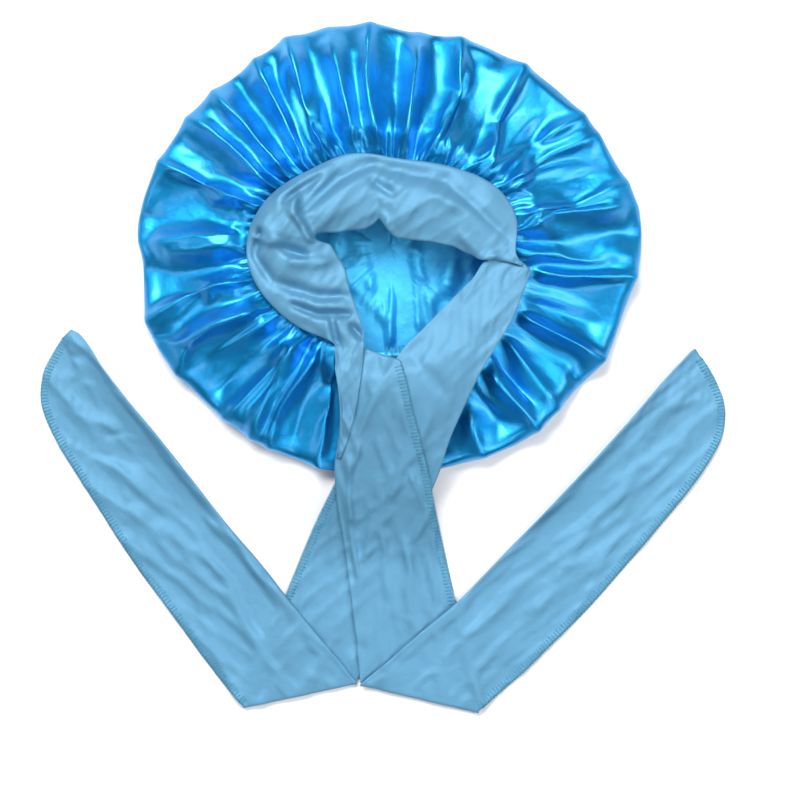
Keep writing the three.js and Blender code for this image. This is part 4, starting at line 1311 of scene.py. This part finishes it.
# Operators, one for each piece or group of like pieces
class BONNET_OT_crown(bpy.types.Operator):
    """Adds the gathered satin crown"""
    bl_idname = "bonnet.crown"
    bl_label = "Crown"

    def execute(self, context):
        s = context.scene.bonnet_sizes
        colours = context.scene.bonnet_colours
        piece = make_crown(s)
        thicken = piece.modifiers.new("cloth", "SOLIDIFY")
        thicken.thickness = s.cloth
        thicken.offset = -1
        # The inner faces take the reverse colour, which carries painted light for light shining through the
        # satin
        thicken.material_offset = 1
        piece.data.materials.append(satin_material(colours))
        piece.data.materials.append(reverse_with_painted_light_material(colours))
        apply_modifiers(piece)
        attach(piece, "root")
        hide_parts("crown")
        return {"FINISHED"}


class BONNET_OT_band(bpy.types.Operator):
    """Adds the band round the mouth"""
    bl_idname = "bonnet.band"
    bl_label = "Band"

    def execute(self, context):
        s = context.scene.bonnet_sizes
        stretches = make_stretches(s)
        piece = make_band(s, strip_heights(s, stretches)["band"])
        piece.data.materials.append(strip_cloth(context))
        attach(piece, "root")
        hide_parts("band")
        return {"FINISHED"}


def strip_cloth(context):
    found = bpy.data.materials.get("strip_cloth")
    return found or strip_material(context.scene.bonnet_colours)


class BONNET_OT_ties(bpy.types.Operator):
    """Adds both ties, the right one below the left one"""
    bl_idname = "bonnet.ties"
    bl_label = "Ties"

    def execute(self, context):
        s = context.scene.bonnet_sizes
        stretches = make_stretches(s)
        heights = strip_heights(s, stretches)
        for side, length in (("left", s.left_fall + s.left_tail), ("right", s.right_fall + s.right_tail)):
            name = "tie_" + side + "_strip"
            piece = make_tie(s, name, stretches, side, heights[side + "_fall"], heights[side + "_tail"])
            piece.data.materials.append(strip_cloth(context))
            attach(piece, "root")
            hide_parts("tie_" + side)
        return {"FINISHED"}


class BONNET_OT_stitches(bpy.types.Operator):
    """Adds the overlock stitches along the serged edges of the ties"""
    bl_idname = "bonnet.stitches"
    bl_label = "Overlock stitches"

    def execute(self, context):
        s = context.scene.bonnet_sizes
        stretches = make_stretches(s)
        heights = strip_heights(s, stretches)
        material = thread_material(context.scene.bonnet_colours)
        for side, low in (("left", 0.02), ("right", 0.42)):
            fall, tail = side + "_fall", side + "_tail"
            runs = [
                (stretches[fall], heights[fall], low, 0.985),
                (stretches[tail], heights[tail], 0.01, 1.0),
            ]
            more = [mouth_stitches(s)] if side == "right" else []
            piece = make_stitches(s, "overlock_" + side, runs, more)
            piece.data.materials.append(material)
            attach(piece, "root")
        return {"FINISHED"}


# Stage: floor, lights and camera. Each light has its place, its size and its power
PHOTO_WIDTH_PX = 800
MM_PER_PX = 0.72
CROWN_PX = (390, 245)
LENS = 85
SENSOR = 36
AIM_HEIGHT = 0.02
FLOOR_HALF = 3
FLOOR_SINK = 0.0004
LIGHTS = table(
    "name place size power",
    ("back_window", (-0.6, 1.3, 2.0), (1.7, 0.9), 72),
    ("left_window", (-2.0, -0.3, 1.7), (0.6, 1.4), 10),
    ("right_window", (1.45, 0.0, 1.9), (0.8, 1.4), 26),
    ("front_fill", (0.5, -1.6, 1.9), (1.4, 0.6), 15),
    ("overhead", (0.0, -0.1, 2.8), (1.2, 1.2), 4),
)
WORLD_COLOUR = (0.85, 0.92, 1, 1)
WORLD_STRENGTH = 0.055


class BONNET_OT_stage(bpy.types.Operator):
    """Adds the pale floor, the soft lights and the camera above"""
    bl_idname = "bonnet.stage"
    bl_label = "Stage"

    def execute(self, context):
        corners = [(-1, -1), (1, -1), (1, 1), (-1, 1)]
        vertices = [(x * FLOOR_HALF, y * FLOOR_HALF, 0) for x, y in corners]
        floor = new_object("floor", vertices, [(0, 1, 2, 3)], False)
        floor.location.z = -FLOOR_SINK
        floor.data.materials.append(floor_material(context.scene.bonnet_colours))
        centre = Vector(((PHOTO_WIDTH_PX / 2 - CROWN_PX[0]) * MM_PER_PX * MM,
                         (CROWN_PX[1] - PHOTO_WIDTH_PX / 2) * MM_PER_PX * MM, AIM_HEIGHT))
        self.add_camera(context, centre, PHOTO_WIDTH_PX * MM_PER_PX * MM)
        for row in LIGHTS:
            self.add_light(context, centre, **row)
        world = bpy.data.worlds.new("studio")
        world.use_nodes = True
        background = world.node_tree.nodes["Background"]
        background.inputs["Color"].default_value = WORLD_COLOUR
        background.inputs["Strength"].default_value = WORLD_STRENGTH
        context.scene.world = world
        context.scene.view_settings.view_transform = "Standard"
        return {"FINISHED"}

    @staticmethod
    def add_camera(context, centre, frame_width):
        data = bpy.data.cameras.new("camera")
        data.lens = LENS
        data.sensor_width = SENSOR
        camera = bpy.data.objects.new("camera", data)
        distance = frame_width * LENS / SENSOR
        camera.location = centre + Vector((0, 0, distance))
        context.scene.collection.objects.link(camera)
        context.scene.camera = camera

    @staticmethod
    def add_light(context, centre, name, place, size, power):
        data = bpy.data.lights.new(name, "AREA")
        data.shape = "RECTANGLE"
        data.size, data.size_y = size
        data.energy = power
        light = bpy.data.objects.new(name, data)
        light.location = place
        light.rotation_euler = (centre - Vector(place)).to_track_quat("-Z", "Y").to_euler()
        context.scene.collection.objects.link(light)


class BONNET_PT_panel(bpy.types.Panel):
    """Lists the bonnet's pieces, sizes and colours"""
    bl_label = "Bonnet"
    bl_idname = "BONNET_PT_panel"
    bl_space_type = "VIEW_3D"
    bl_region_type = "UI"
    bl_category = "Bonnet"

    def draw(self, context):
        for operator in OPERATORS:
            self.layout.operator(operator.bl_idname)
        for group in (context.scene.bonnet_sizes, context.scene.bonnet_colours):
            for name in group.__annotations__:
                self.layout.prop(group, name)


OPERATORS = [BONNET_OT_crown, BONNET_OT_band, BONNET_OT_ties, BONNET_OT_stitches, BONNET_OT_stage]
CLASSES = [BonnetSizes, BonnetColours, *OPERATORS, BONNET_PT_panel]


def register():
    for cls in CLASSES:
        bpy.utils.register_class(cls)
    bpy.types.Scene.bonnet_sizes = PointerProperty(type=BonnetSizes)
    bpy.types.Scene.bonnet_colours = PointerProperty(type=BonnetColours)


def unregister():
    del bpy.types.Scene.bonnet_sizes
    del bpy.types.Scene.bonnet_colours
    for cls in reversed(CLASSES):
        bpy.utils.unregister_class(cls)


def main():
    register()
    bpy.ops.bonnet.crown()
    bpy.ops.bonnet.band()
    bpy.ops.bonnet.ties()
    bpy.ops.bonnet.stitches()
    bpy.ops.bonnet.stage()


if __name__ == "__main__":
    main()
